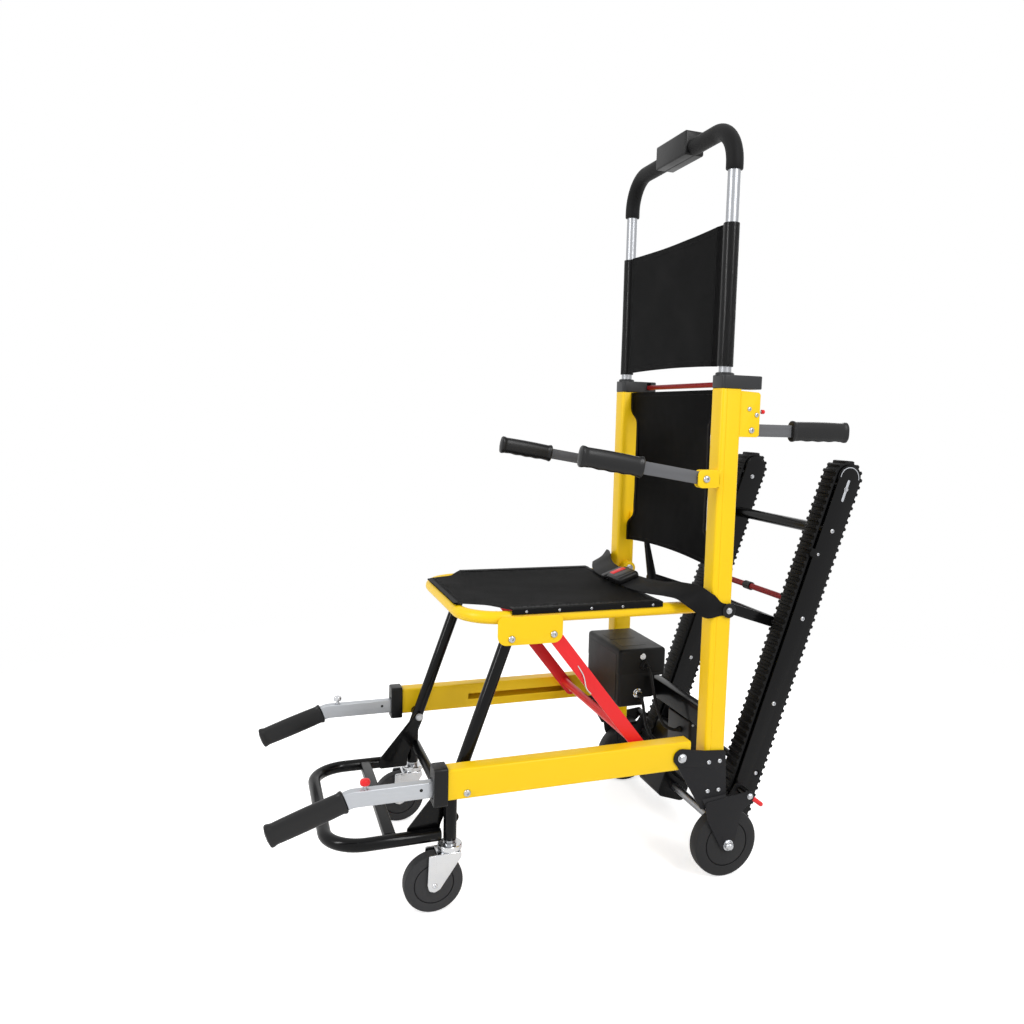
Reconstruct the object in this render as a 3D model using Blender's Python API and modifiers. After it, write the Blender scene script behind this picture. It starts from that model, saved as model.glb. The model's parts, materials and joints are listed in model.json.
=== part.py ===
"""Stair climbing wheelchair with a folding seat and two powered rubber tracks.

Metres, +Z up. The chair faces -Y and its left side is +X. Sizes below are written in a working frame whose
Y = 0 lies at the push handle's tubes and whose Z = 0 is the floor. The finished chair hangs on one empty that
centres it over the origin.
"""

import math

import bmesh
import bpy
from mathutils import Matrix, Vector

for leftover in list(bpy.data.objects):
    bpy.data.objects.remove(leftover, do_unlink=True)

# Fits and facets
CLEARANCE = 0.0003
ROUND_SIDES = 12
WHEEL_SIDES = 20
TUBE_RESOLUTION = 2
CORNER_STEPS = 4
OVERLAP = 0.002
SIDES = {"left": 1, "right": -1}

# Upright posts
POST_X = 0.209
POST_Y = 0.004
POST_WIDTH = 0.038
POST_DEPTH = 0.040
POST_WALL = 0.003
POST_CORNER = 0.006
POST_BOTTOM = 0.150
POST_TOP = 0.887
POST_INNER = POST_X - POST_WIDTH / 2
POST_OUTER = POST_X + POST_WIDTH / 2
POST_FRONT = POST_Y - POST_DEPTH / 2
POST_REAR = POST_Y + POST_DEPTH / 2

# Caps on the posts and the red bar that frees the push handle
CAP_LIP = 0.002
CAP_LENGTH = 0.080
CAP_HEIGHT = 0.023
RELEASE_RADIUS = 0.005
RELEASE_BEHIND_POST = 0.021
RELEASE_ABOVE_POST = 0.011
RELEASE_TRAVEL = 0.005
RELEASE_SEAT = 0.010

# Push handle
TUBE_RADIUS = 0.011
HANDLE_X = POST_X - 0.002
HANDLE_Y = -0.0007
HANDLE_FOOT = 0.780
HANDLE_TOP = 1.333
HANDLE_CORNER = 0.065
FOAM_RADIUS = 0.015
FOAM_LENGTH = 0.077
FOAM_FOOT = HANDLE_TOP - FOAM_LENGTH

# Control box on the push handle
CONTROL_HALF_WIDTH = 0.061
CONTROL_DEPTH = 0.040
CONTROL_BELOW = 0.015
CONTROL_ABOVE = 0.029
CONTROL_CORNER = 0.006
ROCKER_WIDTH = 0.020
ROCKER_LENGTH = 0.016
ROCKER_HEIGHT = 0.0065
ROCKER_PIN_RADIUS = 0.0015
ROCKER_PIN_REACH = 0.0025
ROCKER_SINK = 0.002
ROCKER_SWING_ROOM = 0.0009
ROCKER_WELL_DEPTH = 0.010

# Cloth of the back
SLEEVE_FOOT = 0.925
SLEEVE_TOP = 1.168
SLEEVE_WALL = 0.0025
BACK_THICKNESS = 0.004
BACK_Y = 0.006
BACK_FOOT = 0.565
BACK_TOP = 0.886
BACK_WAIST = 0.152
BACK_WAIST_FOOT = 0.604
BACK_WAIST_TOP = 0.846

# Cross members between the posts
CROSS_FRONT = 0.0105
UPPER_BEAM_FOOT = 0.842
UPPER_BEAM_TOP = 0.883
MIDDLE_BAR_FOOT = 0.598
MIDDLE_BAR_TOP = 0.627
BATTERY_BAR_FRONT = 0.002
BATTERY_BAR_FOOT = 0.262
BATTERY_BAR_TOP = 0.300

# Battery and controller
BATTERY_RIGHT = -0.140
BATTERY_LEFT = 0.028
BATTERY_DEPTH = 0.1017
BATTERY_HEIGHT = 0.116
BATTERY_UPPER = 0.055
BATTERY_STEP = 0.001
BATTERY_LATCH_ROOM = 0.032
CONTROLLER_RIGHT = 0.045
CONTROLLER_LEFT = 0.133
CONTROLLER_DEPTH = 0.072
CONTROLLER_HEIGHT = 0.0867
CABLE_RADIUS = 0.003

# Pivots of the folding side linkage, as (y, z)
SEAT_TUBE_Z = 0.494
SEAT_PIVOT = (0.004, SEAT_TUBE_Z + 0.010)
BEAM_PIVOT = (-0.0645, 0.2355)
LEG_PIVOT = (-0.372, SEAT_TUBE_Z - 0.033)
FOOT_PIVOT = (-0.457, 0.2176)
BRACE_PIVOT = (-0.298, SEAT_TUBE_Z - 0.029)
BRACE_END = (-0.118, 0.236)
PIN_RADIUS = 0.005

# Seat
SEAT_TUBE_X = 0.176
SEAT_FRONT = -0.444
SEAT_CORNER = 0.070
SEAT_EYE_RADIUS = 0.014
SEAT_EYE_HALF = 0.010
SEAT_PLATE_THICKNESS = 0.003
SEAT_PLATE_GAP = 0.003
SEAT_PLATE_FRONT = -0.396
SEAT_PLATE_REAR = -0.282
SEAT_PLATE_FOOT = SEAT_TUBE_Z - 0.044
BOLT_HEAD_RADIUS = 0.009
BOLT_HEAD_HEIGHT = 0.005
SHEET_THICKNESS = 0.004
SHEET_HALF_WIDTH = 0.187
SHEET_REAR = -0.092
SHEET_FRONT = -0.452
SHEET_FRONT_HALF = 0.115
SHEET_SHOULDER = -0.372
BELT_WIDTH = 0.044
BELT_THICKNESS = 0.002
BUCKLE_WIDTH = 0.046
BUCKLE_LENGTH = 0.090
BUCKLE_HEIGHT = 0.016

# Leg frame, footrest and casters
LEG_X = 0.171
LEG_FOOT_Y = -0.466
LEG_FOOT_Z = 0.111
LEG_CORNER = 0.040
LEG_CROSS_RADIUS = 0.009
LEG_CROSS = (-0.460, 0.155)
LEG_EYE_RADIUS = 0.013
LEG_EYE_HALF = 0.012
LEG_BUSH_RADIUS = 0.009
FOOTREST_HALF_WIDTH = 0.165
FOOTREST_Z = 0.127
FOOTREST_FRONT = -0.664
FOOTREST_REAR = -0.480
FOOTREST_CORNER = 0.062
FOOTREST_BAR_Y = -0.563
FOOTREST_BAR_RADIUS = 0.008
GUSSET_THICKNESS = 0.004
GUSSET_EYE_RADIUS = 0.012
GUSSET_FRONT = -0.535
CASTER_RADIUS = 0.050
CASTER_WIDTH = 0.024
CASTER_TRAIL = 0.028
CASTER_BEARING_RADIUS = 0.013
CASTER_FORK_GAP = 0.003
CASTER_FORK_PLATE = 0.003
CASTER_CROWN_FOOT = 0.103
CASTER_AXLE_RADIUS = 0.005
CASTER_TURN = {"left": 180.0, "right": 180.0}

# Side beams and the front carrying handles
BEAM_WIDTH = 0.031
BEAM_HEIGHT = 0.051
BEAM_WALL = 0.003
BEAM_FOOT = 0.212
BEAM_FRONT = -0.483
BEAM_REAR = -0.046
BEAM_SLOT_HEIGHT = 0.012
BEAM_SLOT_FRONT = -0.345
BEAM_SLOT_REAR = -0.118
END_CAP_LIP = 0.002
END_CAP_LENGTH = 0.021
END_CAP_FOOT = 0.203
END_CAP_TOP = 0.267
FRONT_BAR_WIDTH = 0.016
FRONT_BAR_HEIGHT = 0.026
FRONT_BAR_INNER_END = -0.400
FRONT_BAR_BEND = -0.631
FRONT_BAR_DROP = 19.4
FRONT_GRIP_LENGTH = 0.124
FRONT_GRIP_WIDTH = 0.020
FRONT_GRIP_HEIGHT = 0.038
TANG_WIDTH = 0.008
TANG_HEIGHT = 0.014
PULL_PIN_Y = -0.611
PULL_PIN_RADIUS = 0.003
PULL_KNOB_RADIUS = 0.008
PULL_KNOB_HEIGHT = 0.016
PULL_PIN_DEPTH = 0.010

# Red brace frame
BRACE_THICKNESS = 0.005
BRACE_WIDTH = 0.024
BRACE_BAR_RADIUS = 0.008
BRACE_BAR_UP = 0.025

# Arms and rear carrying handles
ARM_X = 0.230
ARM_PIVOT = (-0.045, 0.731)
ARM_RISE = 9.0
ARM_THICKNESS = 0.006
ARM_HEIGHT = 0.022
ARM_LENGTH = 0.222
ARM_GRIP_START = 0.119
ARM_GRIP_LENGTH = 0.114
ARM_GRIP_WIDTH = 0.022
ARM_GRIP_HEIGHT = 0.036
ARM_EAR_THICKNESS = 0.003
ARM_EAR_GAP = 0.002
ARM_EAR_HEIGHT = 0.031
ARM_BASE_THICKNESS = 0.005
REAR_X = 0.2145
REAR_PIVOT = (0.046, 0.816)
REAR_THICKNESS = 0.008
REAR_HEIGHT = 0.022
REAR_LENGTH = 0.198
REAR_GRIP_START = 0.090
REAR_GRIP_LENGTH = 0.122
REAR_GRIP_WIDTH = 0.024
REAR_GRIP_HEIGHT = 0.038
REAR_EAR_THICKNESS = 0.003
REAR_EAR_GAP = 0.0055
REAR_EAR_FOOT = 0.804
REAR_EAR_TOP = 0.884
REAR_EAR_REAR = 0.062
HANDLE_PIN_RADIUS = 0.004
SCALLOPS = 4
SCALLOP_DEPTH = 0.0015
SCALLOP_STEPS = 4

# Rear wheels, their brackets and brake pedals
WHEEL_RADIUS = 0.0635
WHEEL_WIDTH = 0.028
WHEEL_INNER = 0.206
WHEEL_Y = 0.0334
WHEEL_HUB_RADIUS = 0.022
WHEEL_RIM_RADIUS = 0.044
WHEEL_DISH = 0.006
AXLE_RADIUS = 0.006
NUT_RADIUS = 0.010
NUT_LENGTH = 0.012
BRACKET_PLATE = 0.003
BRACKET_WHEEL_GAP = 0.0025
BRACKET_TOP = 0.240
BRACKET_JOG = 0.143
BRACKET_BRIDGE_FOOT = 0.134
BRACKET_BRIDGE_TOP = 0.140
BRACKET_FOOT = 0.040
BRACKET_EAR_RADIUS = 0.016
PEDAL_PIVOT = (0.075, 0.150)
PEDAL_TIP = (0.106, 0.126)
PEDAL_THICKNESS = 0.006
PEDAL_HALF_WIDTH = 0.012
PEDAL_EYE_RADIUS = 0.008

# Tracks
TRACK_PIVOT = (0.068, 0.054)
TRACK_LEAN = 18.6
TRACK_LENGTH = 0.712
TRACK_X = 0.163
TRACK_BELT_WIDTH = 0.038
TRACK_PLATE = 0.003
TRACK_PLATE_GAP = 0.002
TRACK_PLATE_HALF = 0.023
TRACK_INNER_RADIUS = 0.026
TRACK_CARCASS = 0.004
TRACK_TOOTH = 0.004
TRACK_TOOTH_PITCH = 0.016
TRACK_UPPER_BAR = 0.606
TRACK_LOWER_BAR = 0.124
TRACK_LOWER_BAR_SET = 0.015
TRACK_BAR_RADIUS = 0.007
TRACK_UPPER_BAR_RADIUS = 0.011
SHAFT_RADIUS = 0.008
MOTOR_RADIUS = 0.039
MOTOR_ALONG = 0.060
MOTOR_RIGHT = -0.035
MOTOR_LEFT = 0.124
GEARBOX_RIGHT = -0.132
GEARBOX_BELOW = 0.028
GEARBOX_HALF = 0.034
GEARBOX_CORNER = 0.012

# Strut that holds the tracks out
STRUT_PIVOT = (0.040, 0.489)
STRUT_FAR_POINT = (0.190, 0.440)
PUSH_POINT = (0.203, 0.490)
STRUT_X = 0.133
STRUT_THICKNESS = 0.004
STRUT_HALF_HEIGHT = 0.010
STRUT_LUG_THICKNESS = 0.005
STRUT_BAR_RADIUS = 0.010
PUSH_BAR_RADIUS = 0.006

# Finishes, as (red, green, blue), roughness and metallic
FINISHES = {
    "yellow_paint": ((0.86, 0.62, 0.02), 0.35, 0.0),
    "red_paint": ((0.62, 0.03, 0.03), 0.4, 0.0),
    "black_paint": ((0.02, 0.02, 0.022), 0.35, 0.0),
    "black_plastic": ((0.025, 0.025, 0.027), 0.6, 0.0),
    "black_rubber": ((0.03, 0.03, 0.03), 0.85, 0.0),
    "black_cloth": ((0.018, 0.018, 0.02), 0.75, 0.0),
    "black_foam": ((0.02, 0.02, 0.02), 0.9, 0.0),
    "silver_metal": ((0.62, 0.63, 0.64), 0.3, 1.0),
    "chrome": ((0.78, 0.79, 0.8), 0.12, 1.0),
    "grey_rubber": ((0.12, 0.12, 0.125), 0.7, 0.0),
    "grey_paint": ((0.15, 0.15, 0.16), 0.45, 0.0),
}


# Collections: the chair's parts, and the shapes that are added to them or cut from them
def collection(name):
    made = bpy.data.collections.new(name)
    bpy.context.scene.collection.children.link(made)
    return made


PARTS = collection("stair_climbing_wheelchair")
SHAPES = collection("added_and_cut_shapes")
BODIES = {}


def body(name, point=(0.0, 0.0), parent=None, x=0.0):
    """An empty on a moving body's axis. The point is (y, z) in the working frame."""
    place = Vector((x, point[0], point[1]))
    empty = bpy.data.objects.new(f"{name}_axis", None)
    empty.empty_display_size = 0.02
    PARTS.objects.link(empty)
    empty.location = place
    if parent:
        carrier, carrier_place = BODIES[parent]
        empty.parent = carrier
        empty.location = place - carrier_place
    BODIES[name] = (empty, place)


def carry(obj, name):
    """Parents a shape to a body's empty without moving it."""
    empty, place = BODIES[name]
    obj.parent = empty
    obj.matrix_parent_inverse = Matrix.Translation(-place)


# Shapes, all in the working frame
def shape(mesh):
    obj = bpy.data.objects.new("shape", mesh)
    SHAPES.objects.link(obj)
    obj.hide_render = True
    obj.display_type = "WIRE"
    return obj


def from_bmesh(bm):
    mesh = bpy.data.meshes.new("shape")
    bmesh.ops.recalc_face_normals(bm, faces=bm.faces)
    bm.to_mesh(mesh)
    bm.free()
    return shape(mesh)


def box(x, y, z):
    """A block over three (low, high) pairs, given in either order."""
    pairs = [sorted(pair) for pair in (x, y, z)]
    middle = Vector([(low + high) / 2 for low, high in pairs])
    size = Vector([high - low for low, high in pairs])
    bm = bmesh.new()
    bmesh.ops.create_cube(bm, size=1.0, matrix=Matrix.Translation(middle) @ Matrix.Diagonal(size).to_4x4())
    return from_bmesh(bm)


def rod_x(x, point, radius, sides=ROUND_SIDES, flat=False):
    """A round bar along X at (y, z). With flat, one facet lies level and the radius is the inner one."""
    low, high = sorted(x)
    turn = math.pi / sides if flat else 0.0
    reach = radius / math.cos(math.pi / sides) if flat else radius
    place = Matrix.Translation(((low + high) / 2, point[0], point[1]))
    place = place @ Matrix.Rotation(math.pi / 2, 4, "Y") @ Matrix.Rotation(turn, 4, "Z")
    bm = bmesh.new()
    bmesh.ops.create_cone(
        bm, cap_ends=True, segments=sides, radius1=reach, radius2=reach, depth=high - low, matrix=place
    )
    return from_bmesh(bm)


def rod_z(z, x, y, radius, sides=ROUND_SIDES):
    low, high = sorted(z)
    bm = bmesh.new()
    place = Matrix.Translation((x, y, (low + high) / 2))
    bmesh.ops.create_cone(
        bm, cap_ends=True, segments=sides, radius1=radius, radius2=radius, depth=high - low, matrix=place
    )
    return from_bmesh(bm)


def clear(radius, sides=ROUND_SIDES):
    """Radius of a faceted bore that clears a round bar of this radius whichever way its facets lie."""
    return (radius + CLEARANCE) / math.cos(math.pi / sides)


def rounded(points, radius, steps=CORNER_STEPS, closed=True):
    """The points of a line whose corners are arcs of this radius. Works in two or three dimensions."""
    corners = [Vector(point) for point in points]
    count = len(corners)
    line = []
    for index, corner in enumerate(corners):
        if not closed and index in (0, count - 1):
            line.append(corner)
            continue
        back = (corners[index - 1] - corner).normalized()
        ahead = (corners[(index + 1) % count] - corner).normalized()
        angle = back.angle(ahead)
        if math.pi - angle < 0.01:
            line.append(corner)
            continue
        middle = corner + (back + ahead).normalized() * (radius / math.sin(angle / 2))
        reach = radius / math.tan(angle / 2)
        first = corner + back * reach - middle
        last = corner + ahead * reach - middle
        sweep = math.pi - angle
        for step in range(steps + 1):
            part = step / steps
            arm = (math.sin((1 - part) * sweep) * first + math.sin(part * sweep) * last) / math.sin(sweep)
            line.append(middle + arm)
    return line


def mesh_of_curve(curve):
    """A closed mesh shape made from a curve's evaluated surface."""
    obj = bpy.data.objects.new("line", curve)
    SHAPES.objects.link(obj)
    bpy.context.view_layer.update()
    graph = bpy.context.evaluated_depsgraph_get()
    mesh = bpy.data.meshes.new_from_object(obj.evaluated_get(graph))
    bpy.data.objects.remove(obj, do_unlink=True)
    bm = bmesh.new()
    bm.from_mesh(mesh)
    bpy.data.meshes.remove(mesh)
    bmesh.ops.remove_doubles(bm, verts=bm.verts, dist=0.000005)
    return bm


def tube(points, radius, resolution=TUBE_RESOLUTION):
    """A round tube along a line of points."""
    curve = bpy.data.curves.new("line", "CURVE")
    curve.dimensions = "3D"
    curve.bevel_depth = radius
    curve.bevel_resolution = resolution
    curve.use_fill_caps = True
    spline = curve.splines.new("POLY")
    spline.points.add(len(points) - 1)
    for knot, point in zip(spline.points, points):
        knot.co = (*point, 1.0)
    return from_bmesh(mesh_of_curve(curve))


PLANES = {
    "YZ": Matrix(((0, 0, 1, 0), (1, 0, 0, 0), (0, 1, 0, 0), (0, 0, 0, 1))),
    "XZ": Matrix(((1, 0, 0, 0), (0, 0, -1, 0), (0, 1, 0, 0), (0, 0, 0, 1))),
    "XY": Matrix.Identity(4),
}


def plate(outline, plane, across, edge=0.0):
    """A flat outline in a plane, as thick as the (low, high) pair across it, with edges rounded by edge."""
    low, high = sorted(across)
    curve = bpy.data.curves.new("outline", "CURVE")
    curve.dimensions = "2D"
    curve.fill_mode = "BOTH"
    curve.extrude = (high - low) / 2 - edge
    curve.bevel_depth = edge
    curve.bevel_resolution = 1 if edge else 0
    curve.offset = -edge
    spline = curve.splines.new("POLY")
    spline.points.add(len(outline) - 1)
    for knot, point in zip(spline.points, outline):
        knot.co = (point[0], point[1], 0.0, 1.0)
    spline.use_cyclic_u = True
    bm = mesh_of_curve(curve)
    middle = (low + high) / 2
    lift = Matrix.Translation((0, 0, -middle if plane == "XZ" else middle))
    bmesh.ops.transform(bm, matrix=PLANES[plane] @ lift, verts=bm.verts)
    return from_bmesh(bm)


def finish(name, obj):
    colour, roughness, metallic = FINISHES[name]
    material = bpy.data.materials.new(f"{obj.name}_{name}")
    material.use_nodes = True
    shader = material.node_tree.nodes["Principled BSDF"]
    shader.inputs["Base Color"].default_value = (*colour, 1.0)
    shader.inputs["Roughness"].default_value = roughness
    shader.inputs["Metallic"].default_value = metallic
    obj.data.materials.clear()
    obj.data.materials.append(material)


def part(name, body_name, finish_name, base, add=(), cut=()):
    """Turns a base shape into a named part, with other shapes joined to it and cut from it."""
    SHAPES.objects.unlink(base)
    PARTS.objects.link(base)
    base.name = name
    base.hide_render = False
    base.display_type = "TEXTURED"
    for operation, shapes in (("UNION", add), ("DIFFERENCE", cut)):
        for index, other in enumerate(shapes):
            other.name = f"{name}_{operation.lower()}_{index}"
            carry(other, body_name)
            modifier = base.modifiers.new(other.name, "BOOLEAN")
            modifier.operation = operation
            modifier.solver = "EXACT"
            modifier.object = other
    carry(base, body_name)
    finish(finish_name, base)
    base.data.shade_smooth()
    base.data.set_sharp_from_angle(angle=math.radians(35))
    return base


def joined(name, shapes, body_name):
    """Joins more shapes to a part after its cuts, so that the cuts don't reach them."""
    target = bpy.data.objects[name]
    for index, other in enumerate(shapes):
        other.name = f"{name}_late_{index}"
        carry(other, body_name)
        modifier = target.modifiers.new(other.name, "BOOLEAN")
        modifier.operation = "UNION"
        modifier.solver = "EXACT"
        modifier.object = other


def pair(side, low, high):
    """An (x, x) pair on the left side, or its mirror image on the right."""
    return sorted((side * low, side * high))


# Bodies and the axes that they move on
body("frame")
body("push_handle", (HANDLE_Y, HANDLE_TOP), "frame")
ROCKER_PIVOT = (HANDLE_Y, HANDLE_TOP + CONTROL_ABOVE - ROCKER_SINK)
body("rocker", ROCKER_PIVOT, "push_handle")
RELEASE_POINT = (POST_REAR + RELEASE_BEHIND_POST, POST_TOP + RELEASE_ABOVE_POST)
body("release", RELEASE_POINT, "frame")
body("seat", SEAT_PIVOT, "frame")
body("leg", LEG_PIVOT, "seat")
body("brace", BRACE_PIVOT, "seat")
body("footrest", FOOT_PIVOT, "leg")
body("beams", BEAM_PIVOT, "frame")
body("track", TRACK_PIVOT, "frame")
body("shaft", TRACK_PIVOT, "frame")
body("strut", STRUT_PIVOT, "frame")
WHEEL_AXIS = (WHEEL_Y, WHEEL_RADIUS)
FRONT_BAR_Z = BEAM_FOOT + BEAM_WALL + 0.0005 + FRONT_BAR_HEIGHT / 2
BEAM_OUTER = POST_OUTER
BEAM_INNER = BEAM_OUTER - BEAM_WIDTH
FRONT_BAR_X = BEAM_INNER + BEAM_WALL + 0.0005 + FRONT_BAR_WIDTH / 2
CASTER_TOP = LEG_FOOT_Z - CLEARANCE
for side_name, side_sign in SIDES.items():
    turn = math.radians(CASTER_TURN[side_name])
    body(f"caster_fork_{side_name}", (LEG_FOOT_Y, LEG_FOOT_Z), "leg", side_sign * LEG_X)
    wheel_x = side_sign * LEG_X - math.sin(turn) * CASTER_TRAIL
    wheel_y = LEG_FOOT_Y + math.cos(turn) * CASTER_TRAIL
    body(f"caster_wheel_{side_name}", (wheel_y, CASTER_RADIUS), f"caster_fork_{side_name}", wheel_x)
    body(f"front_handle_{side_name}", (FRONT_BAR_BEND, FRONT_BAR_Z), "beams", side_sign * FRONT_BAR_X)
    pin_place = (PULL_PIN_Y, FRONT_BAR_Z + FRONT_BAR_HEIGHT / 2)
    body(f"pull_pin_{side_name}", pin_place, f"front_handle_{side_name}", side_sign * FRONT_BAR_X)
    body(f"arm_{side_name}", ARM_PIVOT, "frame", side_sign * ARM_X)
    body(f"rear_handle_{side_name}", REAR_PIVOT, "frame", side_sign * REAR_X)
    body(f"rear_wheel_{side_name}", WHEEL_AXIS, "frame", side_sign * (WHEEL_INNER + WHEEL_WIDTH / 2))
    body(f"brake_{side_name}", PEDAL_PIVOT, "frame", side_sign * (WHEEL_INNER + WHEEL_WIDTH / 2))


def make_posts():
    """Hollow uprights, each with the ears of its arm and rear handle and the bolt that the seat turns on."""
    ear_reach = ARM_THICKNESS / 2 + ARM_EAR_GAP
    arm_low = ARM_X - ear_reach - ARM_EAR_THICKNESS
    arm_high = ARM_X + ear_reach + ARM_EAR_THICKNESS
    arm_z = (ARM_PIVOT[1] - ARM_EAR_HEIGHT / 2, ARM_PIVOT[1] + ARM_EAR_HEIGHT / 2)
    base_y = (POST_FRONT - ARM_BASE_THICKNESS, POST_FRONT + OVERLAP)
    ear_outline = rounded(
        [
            (base_y[0] + OVERLAP, arm_z[0]),
            (ARM_PIVOT[0] - ARM_EAR_HEIGHT / 2, arm_z[0]),
            (ARM_PIVOT[0] - ARM_EAR_HEIGHT / 2, arm_z[1]),
            (base_y[0] + OVERLAP, arm_z[1]),
        ],
        0.006,
    )
    rear_outline = rounded(
        [
            (POST_REAR - OVERLAP, REAR_EAR_FOOT),
            (REAR_EAR_REAR, REAR_EAR_FOOT),
            (REAR_EAR_REAR, REAR_EAR_TOP - 0.002),
            (POST_REAR - OVERLAP, REAR_EAR_TOP),
        ],
        0.0015,
        steps=2,
    )
    rear_reach = REAR_THICKNESS / 2 + REAR_EAR_GAP
    rear_low = REAR_X - rear_reach
    rear_high = REAR_X + rear_reach
    seat_eye_inner = SEAT_TUBE_X - SEAT_EYE_HALF
    for side, sign in SIDES.items():
        corners = [
            (POST_INNER, POST_FRONT),
            (POST_OUTER, POST_FRONT),
            (POST_OUTER, POST_REAR),
            (POST_INNER, POST_REAR),
        ]
        outline = rounded([(sign * x, y) for x, y in corners], POST_CORNER, steps=3)
        hollow = box(
            pair(sign, POST_INNER + POST_WALL, POST_OUTER - POST_WALL),
            (POST_FRONT + POST_WALL, POST_REAR - POST_WALL),
            (POST_BOTTOM - OVERLAP, POST_TOP + OVERLAP),
        )
        post = plate(outline, "XY", (POST_BOTTOM, POST_TOP))
        add = [
            box(pair(sign, POST_X, arm_high), base_y, arm_z),
            plate(ear_outline, "YZ", pair(sign, arm_low, arm_low + ARM_EAR_THICKNESS)),
            plate(ear_outline, "YZ", pair(sign, arm_high - ARM_EAR_THICKNESS, arm_high)),
            rod_x(pair(sign, arm_low + OVERLAP, arm_high - OVERLAP), ARM_PIVOT, HANDLE_PIN_RADIUS, 12),
            plate(rear_outline, "YZ", pair(sign, rear_low - REAR_EAR_THICKNESS, rear_low)),
            plate(rear_outline, "YZ", pair(sign, rear_high, rear_high + REAR_EAR_THICKNESS)),
            rod_x(pair(sign, rear_low - OVERLAP, rear_high + OVERLAP), REAR_PIVOT, HANDLE_PIN_RADIUS, 12),
            rod_x(
                pair(sign, seat_eye_inner - CLEARANCE - OVERLAP, POST_INNER + OVERLAP),
                SEAT_PIVOT,
                PIN_RADIUS,
                12,
            ),
            rod_x(
                pair(sign, seat_eye_inner - CLEARANCE - BOLT_HEAD_HEIGHT, seat_eye_inner - CLEARANCE),
                SEAT_PIVOT,
                BOLT_HEAD_RADIUS,
                6,
            ),
        ]
        part(f"post_{side}", "frame", "yellow_paint", post, cut=[hollow])
        joined(f"post_{side}", add, "frame")


def make_caps_and_release():
    cap_z = (POST_TOP + CLEARANCE, POST_TOP + CLEARANCE + CAP_HEIGHT)
    for side, sign in SIDES.items():
        cap = box(
            pair(sign, POST_INNER - CAP_LIP, POST_OUTER + CAP_LIP),
            (POST_FRONT, POST_FRONT + CAP_LENGTH),
            cap_z,
        )
        hole_z = (cap_z[0] - OVERLAP, cap_z[1] + OVERLAP)
        tube_hole = rod_z(hole_z, sign * HANDLE_X, HANDLE_Y, clear(TUBE_RADIUS))
        slot = box(
            pair(sign, POST_INNER - CAP_LIP - OVERLAP, POST_INNER + RELEASE_SEAT + CLEARANCE),
            (RELEASE_POINT[0] - RELEASE_RADIUS - CLEARANCE, RELEASE_POINT[0] + RELEASE_RADIUS + CLEARANCE),
            (
                RELEASE_POINT[1] - RELEASE_RADIUS - CLEARANCE,
                RELEASE_POINT[1] + RELEASE_RADIUS + RELEASE_TRAVEL + CLEARANCE,
            ),
        )
        part(f"cap_{side}", "frame", "black_plastic", cap, cut=[tube_hole, slot])
    reach = POST_INNER + RELEASE_SEAT
    part("release_bar", "release", "red_paint", rod_x((-reach, reach), RELEASE_POINT, RELEASE_RADIUS, 12))


def handle_line(foot):
    corners = [(HANDLE_X, foot), (HANDLE_X, HANDLE_TOP), (-HANDLE_X, HANDLE_TOP), (-HANDLE_X, foot)]
    return rounded([(x, HANDLE_Y, z) for x, z in corners], HANDLE_CORNER, closed=False)


def make_push_handle():
    part("push_handle_tube", "push_handle", "silver_metal", tube(handle_line(HANDLE_FOOT), TUBE_RADIUS))
    bore = tube(handle_line(FOAM_FOOT - OVERLAP), TUBE_RADIUS + 2 * CLEARANCE)
    part("handle_foam", "push_handle", "black_foam", tube(handle_line(FOAM_FOOT), FOAM_RADIUS), cut=[bore])
    top = HANDLE_TOP + CONTROL_ABOVE
    outline = rounded(
        [
            (HANDLE_Y - CONTROL_DEPTH / 2, HANDLE_TOP - CONTROL_BELOW),
            (HANDLE_Y + CONTROL_DEPTH / 2, HANDLE_TOP - CONTROL_BELOW),
            (HANDLE_Y + CONTROL_DEPTH / 2, top),
            (HANDLE_Y - CONTROL_DEPTH / 2, top),
        ],
        CONTROL_CORNER / 4,
        steps=2,
    )
    saddle = clear(FOAM_RADIUS)
    whole = (-CONTROL_HALF_WIDTH - OVERLAP, CONTROL_HALF_WIDTH + OVERLAP)
    well = box(
        (-ROCKER_WIDTH / 2 - CLEARANCE, ROCKER_WIDTH / 2 + CLEARANCE),
        (
            HANDLE_Y - ROCKER_LENGTH / 2 - ROCKER_SWING_ROOM,
            HANDLE_Y + ROCKER_LENGTH / 2 + ROCKER_SWING_ROOM,
        ),
        (top - ROCKER_WELL_DEPTH, top + OVERLAP),
    )
    pin_reach = ROCKER_WIDTH / 2 + ROCKER_PIN_REACH
    part(
        "control_box",
        "push_handle",
        "black_plastic",
        plate(outline, "YZ", (-CONTROL_HALF_WIDTH, CONTROL_HALF_WIDTH)),
        cut=[
            rod_x(whole, (HANDLE_Y, HANDLE_TOP), saddle),
            box(
                whole,
                (HANDLE_Y - saddle, HANDLE_Y + saddle),
                (HANDLE_TOP - CONTROL_BELOW - OVERLAP, HANDLE_TOP),
            ),
            well,
            rod_x(
                (-pin_reach - CLEARANCE, pin_reach + CLEARANCE),
                ROCKER_PIVOT,
                clear(ROCKER_PIN_RADIUS, 12),
                12,
            ),
        ],
    )
    rocker = box(
        (-ROCKER_WIDTH / 2, ROCKER_WIDTH / 2),
        (HANDLE_Y - ROCKER_LENGTH / 2, HANDLE_Y + ROCKER_LENGTH / 2),
        (ROCKER_PIVOT[1] - ROCKER_SINK, ROCKER_PIVOT[1] - ROCKER_SINK + ROCKER_HEIGHT),
    )
    pin = rod_x((-pin_reach, pin_reach), ROCKER_PIVOT, ROCKER_PIN_RADIUS, 12)
    part("rocker_switch", "rocker", "red_paint", rocker, add=[pin])


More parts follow.
